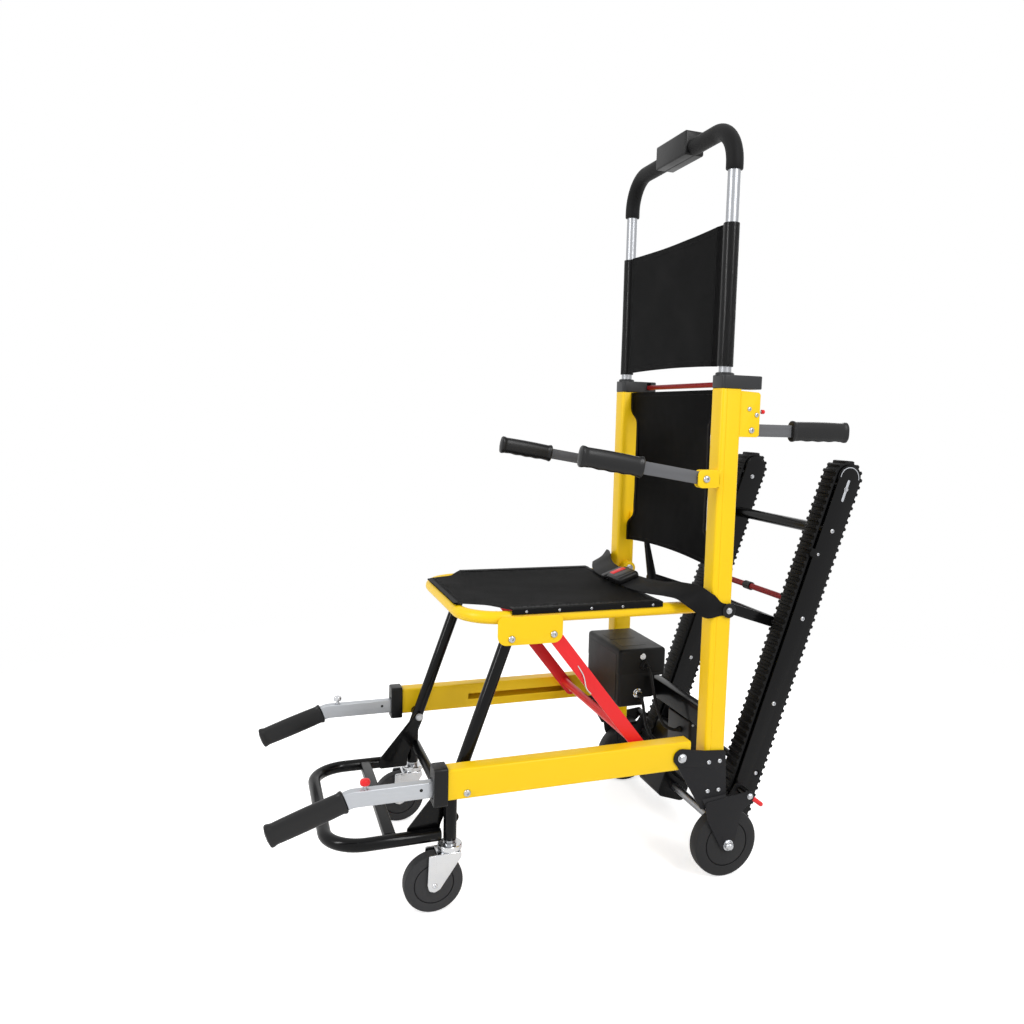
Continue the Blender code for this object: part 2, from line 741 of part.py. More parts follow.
def make_back():
    """The cloth sleeve round the push handle's tubes and the backrest sheet between the posts."""
    loop_bore = clear(TUBE_RADIUS)
    loop_radius = loop_bore + SLEEVE_WALL
    front = HANDLE_Y - loop_radius
    sheet = box((-HANDLE_X, HANDLE_X), (front, front + SLEEVE_WALL), (SLEEVE_FOOT, SLEEVE_TOP))
    loops = []
    bores = []
    for sign in SIDES.values():
        loops.append(rod_z((SLEEVE_FOOT, SLEEVE_TOP), sign * HANDLE_X, HANDLE_Y, loop_radius))
        bore_z = (SLEEVE_FOOT - OVERLAP, SLEEVE_TOP + OVERLAP)
        bores.append(rod_z(bore_z, sign * HANDLE_X, HANDLE_Y, loop_bore))
    part("upper_back_sleeve", "frame", "black_cloth", sheet, add=loops, cut=bores)

    reach = POST_INNER - CLEARANCE
    notch = (reach - BACK_WAIST) * 0.6
    right_edge = [
        (reach, BACK_FOOT),
        (reach, BACK_WAIST_FOOT),
        (BACK_WAIST, BACK_WAIST_FOOT + notch),
        (BACK_WAIST, BACK_WAIST_TOP - notch),
        (reach, BACK_WAIST_TOP),
        (reach, BACK_TOP),
    ]
    left_edge = [(-x, z) for x, z in reversed(right_edge)]
    outline = rounded(right_edge + left_edge, 0.004, steps=2)
    across = (BACK_Y - BACK_THICKNESS / 2, BACK_Y + BACK_THICKNESS / 2)
    part("backrest_sheet", "frame", "black_cloth", plate(outline, "XZ", across))


def make_cross_members():
    reach = POST_INNER - CLEARANCE
    part(
        "upper_cross_beam",
        "frame",
        "yellow_paint",
        box((-reach, reach), (CROSS_FRONT, POST_REAR), (UPPER_BEAM_FOOT, UPPER_BEAM_TOP)),
    )
    lugs = []
    lug_outer = STRUT_X - STRUT_THICKNESS / 2 - CLEARANCE
    lug_outline = rounded(
        [
            (CROSS_FRONT + OVERLAP, MIDDLE_BAR_TOP - OVERLAP),
            (CROSS_FRONT + OVERLAP, MIDDLE_BAR_FOOT),
            (STRUT_PIVOT[0] - STRUT_HALF_HEIGHT, STRUT_PIVOT[1] - STRUT_HALF_HEIGHT),
            (STRUT_PIVOT[0] + STRUT_HALF_HEIGHT, STRUT_PIVOT[1] - STRUT_HALF_HEIGHT),
            (STRUT_PIVOT[0] + STRUT_HALF_HEIGHT, STRUT_PIVOT[1] + STRUT_HALF_HEIGHT),
            (POST_REAR, MIDDLE_BAR_FOOT),
            (POST_REAR, MIDDLE_BAR_TOP - OVERLAP),
        ],
        0.003,
        steps=2,
    )
    for sign in SIDES.values():
        lugs.append(plate(lug_outline, "YZ", pair(sign, lug_outer - STRUT_LUG_THICKNESS, lug_outer)))
        pin = pair(sign, lug_outer - OVERLAP, STRUT_X + STRUT_THICKNESS / 2)
        lugs.append(rod_x(pin, STRUT_PIVOT, PIN_RADIUS, 12))
    part(
        "middle_cross_bar",
        "frame",
        "yellow_paint",
        box((-reach, reach), (CROSS_FRONT, POST_REAR), (MIDDLE_BAR_FOOT, MIDDLE_BAR_TOP)),
        add=lugs,
    )
    part(
        "battery_cross_bar",
        "frame",
        "black_paint",
        box((-reach, reach), (BATTERY_BAR_FRONT, POST_REAR), (BATTERY_BAR_FOOT, BATTERY_BAR_TOP)),
    )


def make_battery_and_controller():
    rear = BATTERY_BAR_FRONT - CLEARANCE
    front = rear - BATTERY_DEPTH
    top = BATTERY_BAR_FOOT + BATTERY_HEIGHT
    step = top - BATTERY_UPPER
    lower = box(
        (BATTERY_RIGHT, BATTERY_LEFT),
        (front + BATTERY_STEP, rear),
        (BATTERY_BAR_FOOT, step + OVERLAP),
    )
    latch_room = box(
        (BATTERY_LEFT - BATTERY_LATCH_ROOM, BATTERY_LEFT + OVERLAP),
        (rear - BATTERY_LATCH_ROOM, rear + OVERLAP),
        (BATTERY_BAR_FOOT - OVERLAP, step),
    )
    upper = box((BATTERY_RIGHT, BATTERY_LEFT), (front, rear), (step, top))
    part("battery_case", "frame", "black_plastic", upper, add=[lower], cut=[latch_room])
    controller_top = BATTERY_BAR_FOOT - CLEARANCE
    outline = rounded(
        [
            (CONTROLLER_RIGHT, controller_top - CONTROLLER_HEIGHT),
            (CONTROLLER_LEFT, controller_top - CONTROLLER_HEIGHT),
            (CONTROLLER_LEFT, controller_top),
            (CONTROLLER_RIGHT, controller_top),
        ],
        0.004,
        steps=2,
    )
    across = (BATTERY_BAR_FRONT, BATTERY_BAR_FRONT + CONTROLLER_DEPTH)
    part("controller_box", "frame", "black_plastic", plate(outline, "XZ", across))


def smooth_line(points, spacing):
    """Points about this far apart on a smooth curve through the given ones."""
    knots = [Vector(point) for point in points]
    knots = [2 * knots[0] - knots[1]] + knots + [2 * knots[-1] - knots[-2]]
    line = [knots[1]]
    for a, b, c, d in zip(knots, knots[1:], knots[2:], knots[3:]):
        steps = max(1, round((c - b).length / spacing))
        for step in range(1, steps + 1):
            t = step / steps
            cubic = (3 * b - a - 3 * c + d) * t**3
            square = (2 * a - 5 * b + 4 * c - d) * t**2
            line.append((2 * b + (c - a) * t + square + cubic) / 2)
    return line


# The two leads from the battery's left end to the controller's front face
BATTERY_LEADS = {
    "battery_lead_upper": [
        (0.0283, -0.045, 0.345),
        (0.040, -0.045, 0.345),
        (0.053, -0.044, 0.334),
        (0.061, -0.042, 0.310),
        (0.068, -0.037, 0.280),
        (0.078, -0.032, 0.255),
        (0.088, -0.027, 0.241),
        (0.096, -0.014, 0.2345),
        (0.098, -0.007, 0.234),
        (0.098, 0.0017, 0.234),
    ],
    "battery_lead_lower": [
        (0.0283, -0.060, 0.290),
        (0.040, -0.060, 0.290),
        (0.051, -0.058, 0.279),
        (0.055, -0.055, 0.255),
        (0.057, -0.050, 0.230),
        (0.062, -0.040, 0.210),
        (0.070, -0.027, 0.201),
        (0.0765, -0.014, 0.1972),
        (0.078, -0.007, 0.197),
        (0.078, 0.0017, 0.197),
    ],
}


def make_leads():
    for name, points in BATTERY_LEADS.items():
        line = smooth_line(points, CABLE_RADIUS * 4)
        part(name, "frame", "black_rubber", tube(line, CABLE_RADIUS, 2))


def link_outline(first, last, half_width, steps=5):
    """The outline of a flat link with round ends about two (y, z) points."""
    a, b = Vector(first), Vector(last)
    heading = math.atan2(b[1] - a[1], b[0] - a[0])
    line = []
    for middle, start in ((a, heading + math.pi / 2), (b, heading - math.pi / 2)):
        for step in range(steps + 1):
            angle = start + math.pi * step / steps
            line.append(middle + half_width * Vector((math.cos(angle), math.sin(angle))))
    return line


def make_seat():
    corners = [
        (SEAT_TUBE_X, SEAT_PIVOT[0] - 0.004),
        (SEAT_TUBE_X, SEAT_FRONT),
        (-SEAT_TUBE_X, SEAT_FRONT),
        (-SEAT_TUBE_X, SEAT_PIVOT[0] - 0.004),
    ]
    line = rounded([(x, y, SEAT_TUBE_Z) for x, y in corners], SEAT_CORNER, closed=False)
    plate_inner = SEAT_TUBE_X + TUBE_RADIUS + SEAT_PLATE_GAP
    plate_outline = rounded(
        [
            (SEAT_PLATE_FRONT, SEAT_PLATE_FOOT),
            (SEAT_PLATE_REAR, SEAT_PLATE_FOOT),
            (SEAT_PLATE_REAR, SEAT_TUBE_Z + 0.004),
            (SEAT_PLATE_FRONT, SEAT_TUBE_Z + 0.004),
        ],
        0.012,
        steps=3,
    )
    add = []
    cut = []
    for sign in SIDES.values():
        eye = pair(sign, SEAT_TUBE_X - SEAT_EYE_HALF, SEAT_TUBE_X + SEAT_EYE_HALF)
        leg_inner = LEG_X - LEG_EYE_HALF - OVERLAP
        brace_inner = POST_INNER - CLEARANCE - BRACE_THICKNESS - OVERLAP
        add += [
            rod_x(eye, SEAT_PIVOT, SEAT_EYE_RADIUS),
            plate(plate_outline, "YZ", pair(sign, plate_inner, plate_inner + SEAT_PLATE_THICKNESS)),
            box(
                pair(sign, SEAT_TUBE_X, plate_inner + SEAT_PLATE_THICKNESS / 2),
                (SEAT_PLATE_FRONT + 0.012, SEAT_PLATE_REAR - 0.012),
                (SEAT_TUBE_Z - 0.004, SEAT_TUBE_Z + 0.003),
            ),
            rod_x(pair(sign, leg_inner, plate_inner + OVERLAP / 2), LEG_PIVOT, PIN_RADIUS, 12),
            rod_x(pair(sign, brace_inner, plate_inner + OVERLAP / 2), BRACE_PIVOT, PIN_RADIUS, 12),
        ]
        cut.append(rod_x((eye[0] - TUBE_RADIUS, eye[1] + TUBE_RADIUS), SEAT_PIVOT, clear(PIN_RADIUS, 12), 12))
    part("seat_frame", "seat", "yellow_paint", tube(line, TUBE_RADIUS), add=add, cut=cut)

    foot = SEAT_TUBE_Z + TUBE_RADIUS + CLEARANCE
    sag = 0.012
    middle = (
        (SHEET_FRONT_HALF + SHEET_HALF_WIDTH) / 2 - sag,
        (SHEET_FRONT + SHEET_SHOULDER) / 2 + sag,
    )
    left = [
        (SHEET_HALF_WIDTH, SHEET_REAR),
        (SHEET_HALF_WIDTH, SHEET_SHOULDER),
        middle,
        (SHEET_FRONT_HALF, SHEET_FRONT),
    ]
    outline = rounded(left + [(-x, y) for x, y in reversed(left)], 0.008, steps=3)
    part("seat_sheet", "seat", "black_cloth", plate(outline, "XY", (foot, foot + SHEET_THICKNESS)))
    make_seat_belt(foot + SHEET_THICKNESS)


# Middle line of the belt's left half as (x, y, z), each with the direction of the belt's width there
BELT_ROWS = [
    ((0.2298, 0.018, 0.497), (0.0, 0.0, 1.0)),
    ((0.2298, -0.010, 0.502), (0.0, 0.2, 1.0)),
    ((0.2285, -0.028, 0.509), (0.0, 0.35, 0.94)),
    ((0.216, -0.042, 0.520), (0.1, 0.6, 0.8)),
    ((0.194, -0.052, 0.5265), (0.0, 0.85, 0.5)),
    ((0.165, -0.064, 0.522), (0.0, 1.0, 0.1)),
    ((0.130, -0.077, 0.5135), (0.0, 1.0, 0.0)),
    ((0.085, -0.087, 0.5118), (0.0, 1.0, 0.0)),
    ((0.020, -0.090, 0.5112), (0.0, 1.0, 0.0)),
]


def ribbon(rows, width, sign):
    """An open strip along rows of (point, width direction), mirrored to one side."""
    bm = bmesh.new()
    bmesh.ops.create_grid(bm, x_segments=1, y_segments=len(rows) - 1, size=0.5)
    bm.verts.ensure_lookup_table()
    ordered = sorted(bm.verts, key=lambda vert: (round(vert.co.y, 4), vert.co.x))
    for index, vert in enumerate(ordered):
        point, direction = rows[index // 2]
        reach = Vector(direction).normalized() * width / 2 * (-1 if index % 2 == 0 else 1)
        place = Vector(point) + reach
        vert.co = (sign * place[0], place[1], place[2])
    return bm


def make_seat_belt(seat_top):
    straps = []
    for sign in SIDES.values():
        strap = from_bmesh(ribbon(BELT_ROWS, BELT_WIDTH, sign))
        solid = strap.modifiers.new("thickness", "SOLIDIFY")
        solid.thickness = BELT_THICKNESS
        solid.offset = 0.0
        straps.append(strap)
    middle_y = BELT_ROWS[-1][0][1]
    outline = rounded(
        [
            (-BUCKLE_LENGTH / 2, middle_y - BUCKLE_WIDTH / 2),
            (BUCKLE_LENGTH / 2, middle_y - BUCKLE_WIDTH / 2),
            (BUCKLE_LENGTH / 2, middle_y + BUCKLE_WIDTH / 2),
            (-BUCKLE_LENGTH / 2, middle_y + BUCKLE_WIDTH / 2),
        ],
        0.010,
        steps=3,
    )
    foot = seat_top + CLEARANCE
    buckle = plate(outline, "XY", (foot, foot + BUCKLE_HEIGHT))
    part("seat_belt", "seat", "black_cloth", buckle, add=straps)


def make_leg_frame():
    slope = (FOOT_PIVOT[1] - LEG_PIVOT[1]) / (FOOT_PIVOT[0] - LEG_PIVOT[0])
    bend_z = FOOT_PIVOT[1] + slope * (LEG_FOOT_Y - FOOT_PIVOT[0])
    knee = [LEG_PIVOT, (LEG_FOOT_Y, bend_z), (LEG_FOOT_Y, LEG_FOOT_Z)]
    tubes = []
    add = []
    cut = []
    beam_side = BEAM_INNER - CLEARANCE
    stub_end = LEG_X - TUBE_RADIUS - 0.010
    for sign in SIDES.values():
        line = rounded([(sign * LEG_X, y, z) for y, z in knee], LEG_CORNER, closed=False)
        tubes.append(tube(line, TUBE_RADIUS))
        eye = pair(sign, LEG_X - LEG_EYE_HALF, LEG_X + LEG_EYE_HALF)
        add += [
            rod_x(eye, LEG_PIVOT, LEG_EYE_RADIUS),
            rod_x(pair(sign, stub_end, LEG_X + OVERLAP), FOOT_PIVOT, PIN_RADIUS, 12),
            rod_x(pair(sign, LEG_X - OVERLAP, beam_side), FOOT_PIVOT, LEG_BUSH_RADIUS, 12),
        ]
        cut.append(rod_x([eye[0] - 0.01, eye[1] + 0.01], LEG_PIVOT, clear(PIN_RADIUS, 12), 12))
    cross = rod_x((-LEG_X, LEG_X), LEG_CROSS, LEG_CROSS_RADIUS, 12)
    part("leg_frame", "leg", "black_paint", tubes[0], add=[cross, tubes[1]] + add, cut=cut)


def make_footrest():
    corners = [
        (FOOTREST_HALF_WIDTH, FOOTREST_REAR),
        (FOOTREST_HALF_WIDTH, FOOTREST_FRONT),
        (-FOOTREST_HALF_WIDTH, FOOTREST_FRONT),
        (-FOOTREST_HALF_WIDTH, FOOTREST_REAR),
    ]
    line = rounded([(x, y, FOOTREST_Z) for x, y in corners], FOOTREST_CORNER, closed=False)
    y, z = FOOT_PIVOT
    reach = GUSSET_EYE_RADIUS
    outline = rounded(
        [
            (y + reach * 0.9, z + reach * 0.3),
            (y - reach * 0.3, z + reach * 0.95),
            (GUSSET_FRONT, FOOTREST_Z + TUBE_RADIUS),
            (GUSSET_FRONT, FOOTREST_Z - TUBE_RADIUS + OVERLAP),
            (FOOTREST_REAR - 0.001, FOOTREST_Z - TUBE_RADIUS + OVERLAP),
            (FOOTREST_REAR + 0.001, FOOTREST_Z + TUBE_RADIUS + OVERLAP),
        ],
        0.004,
        steps=2,
    )
    inner = FOOTREST_HALF_WIDTH - TUBE_RADIUS - 0.0015
    bar_reach = (-FOOTREST_HALF_WIDTH, FOOTREST_HALF_WIDTH)
    add = [rod_x(bar_reach, (FOOTREST_BAR_Y, FOOTREST_Z), FOOTREST_BAR_RADIUS, 12)]
    cut = []
    for sign in SIDES.values():
        across = pair(sign, inner, inner + GUSSET_THICKNESS)
        add.append(plate(outline, "YZ", across))
        cut.append(rod_x((across[0] - 0.001, across[1] + 0.001), FOOT_PIVOT, clear(PIN_RADIUS, 12), 12))
    part("footrest", "footrest", "black_paint", tube(line, TUBE_RADIUS), add=add, cut=cut)


def turned(profile, sides=WHEEL_SIDES):
    """A body turned about X at the origin from a closed line of (radius, x) points. It rests on a facet."""
    mesh = bpy.data.meshes.new("profile")
    grow = 1 / math.cos(math.pi / sides)
    points = [(radius * grow, 0.0, along) for radius, along in profile]
    edges = [(index, (index + 1) % len(points)) for index in range(len(points))]
    mesh.from_pydata(points, edges, [])
    obj = bpy.data.objects.new("profile", mesh)
    SHAPES.objects.link(obj)
    screw = obj.modifiers.new("turn", "SCREW")
    screw.axis = "Z"
    screw.angle = 2 * math.pi
    screw.steps = sides
    screw.render_steps = sides
    screw.use_merge_vertices = True
    screw.merge_threshold = 0.00001
    bpy.context.view_layer.update()
    graph = bpy.context.evaluated_depsgraph_get()
    solid = bpy.data.meshes.new_from_object(obj.evaluated_get(graph))
    bpy.data.objects.remove(obj, do_unlink=True)
    bm = bmesh.new()
    bm.from_mesh(solid)
    bpy.data.meshes.remove(solid)
    bmesh.ops.remove_doubles(bm, verts=bm.verts, dist=0.000005)
    place = Matrix.Rotation(math.pi / 2, 4, "Y") @ Matrix.Rotation(math.pi / sides, 4, "Z")
    bmesh.ops.transform(bm, matrix=place, verts=bm.verts)
    return from_bmesh(bm)


def wheel_profile(radius, width, bore, hub, rim, dish, shoulder=0.0035):
    half = width / 2
    outer = [
        (bore, half),
        (hub, half),
        (hub + dish / 2, half - dish),
        (rim - dish / 2, half - dish),
        (rim, half),
        (radius - shoulder, half),
        (radius, half - shoulder),
    ]
    return outer + [(r, -along) for r, along in reversed(outer)]


def placed(obj, x, y, z=0.0, turn=0.0):
    obj.data.transform(Matrix.Translation((x, y, z)) @ Matrix.Rotation(turn, 4, "Z"))
    return obj


def make_casters():
    half = CASTER_WIDTH / 2
    fork_inner = half + CASTER_FORK_GAP
    fork_outer = fork_inner + CASTER_FORK_PLATE
    axle = (CASTER_TRAIL, CASTER_RADIUS)
    crown_top = CASTER_CROWN_FOOT + CASTER_FORK_PLATE
    arm_outline = rounded(
        [
            (OVERLAP - CASTER_BEARING_RADIUS, CASTER_CROWN_FOOT - OVERLAP),
            (OVERLAP - CASTER_BEARING_RADIUS, crown_top - OVERLAP / 2),
            (CASTER_BEARING_RADIUS + 0.004, crown_top - OVERLAP / 2),
            (axle[0] + 0.009, axle[1] + 0.004),
            (axle[0] + 0.004, axle[1] - 0.009),
            (axle[0] - 0.008, axle[1] - 0.006),
        ],
        0.0012,
        steps=2,
    )
    bore = clear(CASTER_AXLE_RADIUS, 12)
    for side, sign in SIDES.items():
        x, y = sign * LEG_X, LEG_FOOT_Y
        turn = math.radians(CASTER_TURN[side])
        crown = box(
            (-fork_outer - OVERLAP / 2, fork_outer + OVERLAP / 2),
            (-CASTER_BEARING_RADIUS - OVERLAP / 2, CASTER_BEARING_RADIUS + 0.006),
            (CASTER_CROWN_FOOT, crown_top),
        )
        add = [
            rod_z((crown_top - OVERLAP, CASTER_TOP), 0.0, 0.0, CASTER_BEARING_RADIUS),
            plate(arm_outline, "YZ", (fork_inner, fork_outer)),
            plate(arm_outline, "YZ", (-fork_outer, -fork_inner)),
            rod_x((-fork_outer - 0.003, fork_outer + 0.003), axle, CASTER_AXLE_RADIUS, 12),
        ]
        for piece in [crown] + add:
            placed(piece, x, y, turn=turn)
        part(f"caster_fork_{side}", f"caster_fork_{side}", "chrome", crown, add=add)
        profile = wheel_profile(CASTER_RADIUS, CASTER_WIDTH, bore, 0.016, 0.036, 0.005)
        wheel = turned(profile)
        wheel_x = x - math.sin(turn) * CASTER_TRAIL
        wheel_y = y + math.cos(turn) * CASTER_TRAIL
        placed(wheel, wheel_x, wheel_y, CASTER_RADIUS, turn)
        part(f"caster_wheel_{side}", f"caster_wheel_{side}", "grey_rubber", wheel)


def along(origin, angle, forward, distance, up):
    """A (y, z) point at a distance along a handle's line and up from it. The angle is its rise in degrees."""
    rise = math.radians(angle)
    ahead = -1 if forward else 1
    y = origin[0] + ahead * (distance * math.cos(rise) - up * math.sin(rise))
    z = origin[1] + distance * math.sin(rise) + up * math.cos(rise)
    return (y, z)


def grip_outline(origin, angle, forward, start, length, height):
    """A hand grip's side outline, with a plain top and finger hollows below."""
    half = height / 2
    corner = height * 0.3
    line = [(start, half - corner), (start + corner * 0.3, half - corner * 0.3), (start + corner, half)]
    line += [(start + length - corner, half), (start + length - corner * 0.3, half - corner * 0.3)]
    line += [(start + length, half - corner), (start + length, -half + SCALLOP_DEPTH)]
    count = SCALLOPS * SCALLOP_STEPS
    for step in range(count + 1):
        part_way = step / count
        hollow = SCALLOP_DEPTH * abs(math.sin(math.pi * SCALLOPS * part_way))
        line.append((start + length - corner * 0.5 - (length - corner) * part_way, -half + hollow))
    line.append((start, -half + SCALLOP_DEPTH))
    return [along(origin, angle, forward, distance, up) for distance, up in line]


def bar_outline(origin, angle, forward, start, end, half):
    corners = [(start, -half), (end, -half), (end, half), (start, half)]
    return [along(origin, angle, forward, distance, up) for distance, up in corners]


def make_beams_and_front_handles():
    front_cap = BEAM_FRONT - CLEARANCE
    bar_half = FRONT_BAR_HEIGHT / 2
    bend = (FRONT_BAR_BEND, FRONT_BAR_Z)
    stub = 0.010
    drop = math.radians(FRONT_BAR_DROP)
    mitre = math.tan(drop / 2) * bar_half
    end_low = along(bend, -FRONT_BAR_DROP, True, stub, -bar_half)
    end_high = along(bend, -FRONT_BAR_DROP, True, stub, bar_half)
    outline = [
        (FRONT_BAR_INNER_END, FRONT_BAR_Z - bar_half),
        (FRONT_BAR_BEND + mitre, FRONT_BAR_Z - bar_half),
        end_low,
        end_high,
        (FRONT_BAR_BEND - mitre, FRONT_BAR_Z + bar_half),
        (FRONT_BAR_INNER_END, FRONT_BAR_Z + bar_half),
    ]
    grip_start = stub + CLEARANCE
    tang_end = stub + FRONT_GRIP_LENGTH * 0.85
    grip = grip_outline(bend, -FRONT_BAR_DROP, True, grip_start, FRONT_GRIP_LENGTH, FRONT_GRIP_HEIGHT)
    tang = bar_outline(bend, -FRONT_BAR_DROP, True, 0.0, tang_end, TANG_HEIGHT / 2)
    pocket = bar_outline(
        bend, -FRONT_BAR_DROP, True, 0.0, tang_end + CLEARANCE, TANG_HEIGHT / 2 + CLEARANCE
    )
    bar_top = FRONT_BAR_Z + bar_half
    for side, sign in SIDES.items():
        x = sign * FRONT_BAR_X
        beam = box(
            pair(sign, BEAM_INNER, BEAM_OUTER),
            (BEAM_FRONT, BEAM_REAR),
            (BEAM_FOOT, BEAM_FOOT + BEAM_HEIGHT),
        )
        hollow = box(
            pair(sign, BEAM_INNER + BEAM_WALL, BEAM_OUTER - BEAM_WALL),
            (BEAM_FRONT - OVERLAP, BEAM_REAR - BEAM_WALL),
            (BEAM_FOOT + BEAM_WALL, BEAM_FOOT + BEAM_HEIGHT - BEAM_WALL),
        )
        slot = box(
            pair(sign, BEAM_INNER - OVERLAP, BEAM_INNER + BEAM_WALL + OVERLAP),
            (BEAM_SLOT_FRONT, BEAM_SLOT_REAR),
            (BRACE_END[1] - BEAM_SLOT_HEIGHT / 2, BRACE_END[1] + BEAM_SLOT_HEIGHT / 2),
        )
        pivot = rod_x(
            pair(sign, BEAM_INNER - OVERLAP, BEAM_OUTER + OVERLAP),
            BEAM_PIVOT,
            clear(AXLE_RADIUS, 12),
            12,
        )
        part(f"beam_{side}", "beams", "yellow_paint", beam, cut=[hollow, slot, pivot])
        cap = box(
            pair(sign, BEAM_INNER - END_CAP_LIP, BEAM_OUTER + END_CAP_LIP),
            (front_cap - END_CAP_LENGTH, front_cap),
            (END_CAP_FOOT, END_CAP_TOP),
        )
        bar_hole = box(
            (x - FRONT_BAR_WIDTH / 2 - CLEARANCE, x + FRONT_BAR_WIDTH / 2 + CLEARANCE),
            (front_cap - END_CAP_LENGTH - OVERLAP, front_cap + OVERLAP),
            (FRONT_BAR_Z - bar_half - CLEARANCE, bar_top + CLEARANCE),
        )
        part(f"beam_end_cap_{side}", "beams", "black_plastic", cap, cut=[bar_hole])
        name = f"front_handle_{side}"
        hole_z = (bar_top - PULL_PIN_DEPTH - OVERLAP, bar_top + OVERLAP)
        pin_hole = rod_z(hole_z, x, PULL_PIN_Y, clear(PULL_PIN_RADIUS, 12), 12)
        bar = plate(outline, "YZ", (x - FRONT_BAR_WIDTH / 2, x + FRONT_BAR_WIDTH / 2))
        tang_solid = plate(tang, "YZ", (x - TANG_WIDTH / 2, x + TANG_WIDTH / 2))
        part(f"front_bar_{side}", name, "silver_metal", bar, add=[tang_solid], cut=[pin_hole])
        grip_solid = plate(grip, "YZ", (x - FRONT_GRIP_WIDTH / 2, x + FRONT_GRIP_WIDTH / 2), 0.004)
        pocket_half = TANG_WIDTH / 2 + CLEARANCE
        pocket_solid = plate(pocket, "YZ", (x - pocket_half, x + pocket_half))
        part(f"front_grip_{side}", name, "black_rubber", grip_solid, cut=[pocket_solid])
        knob_z = (bar_top + CLEARANCE, bar_top + CLEARANCE + PULL_KNOB_HEIGHT)
        knob = rod_z(knob_z, x, PULL_PIN_Y, PULL_KNOB_RADIUS, 12)
        pin = rod_z((bar_top - PULL_PIN_DEPTH, bar_top + OVERLAP), x, PULL_PIN_Y, PULL_PIN_RADIUS, 12)
        knob_finish = "red_paint" if sign > 0 else "silver_metal"
        part(f"pull_pin_{side}", f"pull_pin_{side}", knob_finish, knob, add=[pin])


def make_brace():
    outer = POST_INNER - CLEARANCE
    inner = outer - BRACE_THICKNESS
    outline = link_outline(BRACE_PIVOT, BRACE_END, BRACE_WIDTH / 2)
    legs = []
    add = []
    cut = []
    for sign in SIDES.values():
        legs.append(plate(outline, "YZ", pair(sign, inner, outer)))
        add.append(rod_x(pair(sign, inner + OVERLAP, BEAM_INNER - CLEARANCE), BRACE_END, PIN_RADIUS, 12))
        through = pair(sign, inner - OVERLAP, outer + OVERLAP)
        cut.append(rod_x(through, BRACE_PIVOT, clear(PIN_RADIUS, 12), 12))
    middle = (inner + outer) / 2
    up_brace = (Vector(BRACE_PIVOT) - Vector(BRACE_END)).normalized() * BRACE_BAR_UP
    cross = rod_x((-middle, middle), Vector(BRACE_END) + up_brace, BRACE_BAR_RADIUS, 12)
    part("brace_frame", "brace", "red_paint", legs[0], add=[cross, legs[1]] + add, cut=cut)


def make_handle(kind, side, x, origin, angle, forward, sizes):
    """A flat bar on a pivot with a hand grip on its far end."""
    thickness, height, length, grip_start, grip_length, grip_width, grip_height = sizes
    tip = along(origin, angle, forward, length - height / 2, 0.0)
    bar = plate(link_outline(origin, tip, height / 2), "YZ", (x - thickness / 2, x + thickness / 2))
    bore = rod_x((x - thickness, x + thickness), origin, clear(HANDLE_PIN_RADIUS, 12), 12)
    name = f"{kind}_{side}"
    part(f"{kind}_bar_{side}", name, "grey_paint", bar, cut=[bore])
    outline = grip_outline(origin, angle, forward, grip_start, grip_length, grip_height)
    grip = plate(outline, "YZ", (x - grip_width / 2, x + grip_width / 2), 0.005)
    pocket_outline = bar_outline(origin, angle, forward, 0.0, length + CLEARANCE, height / 2 + CLEARANCE)
    pocket = plate(pocket_outline, "YZ", (x - thickness / 2 - CLEARANCE, x + thickness / 2 + CLEARANCE))
    part(f"{kind}_grip_{side}", name, "black_rubber", grip, cut=[pocket])


def make_arms_and_rear_handles():
    arm = (
        ARM_THICKNESS,
        ARM_HEIGHT,
        ARM_LENGTH,
        ARM_GRIP_START,
        ARM_GRIP_LENGTH,
        ARM_GRIP_WIDTH,
        ARM_GRIP_HEIGHT,
    )
    rear = (
        REAR_THICKNESS,
        REAR_HEIGHT,
        REAR_LENGTH,
        REAR_GRIP_START,
        REAR_GRIP_LENGTH,
        REAR_GRIP_WIDTH,
        REAR_GRIP_HEIGHT,
    )
    for side, sign in SIDES.items():
        make_handle("arm", side, sign * ARM_X, ARM_PIVOT, ARM_RISE, True, arm)
        make_handle("rear_handle", side, sign * REAR_X, REAR_PIVOT, 0.0, False, rear)


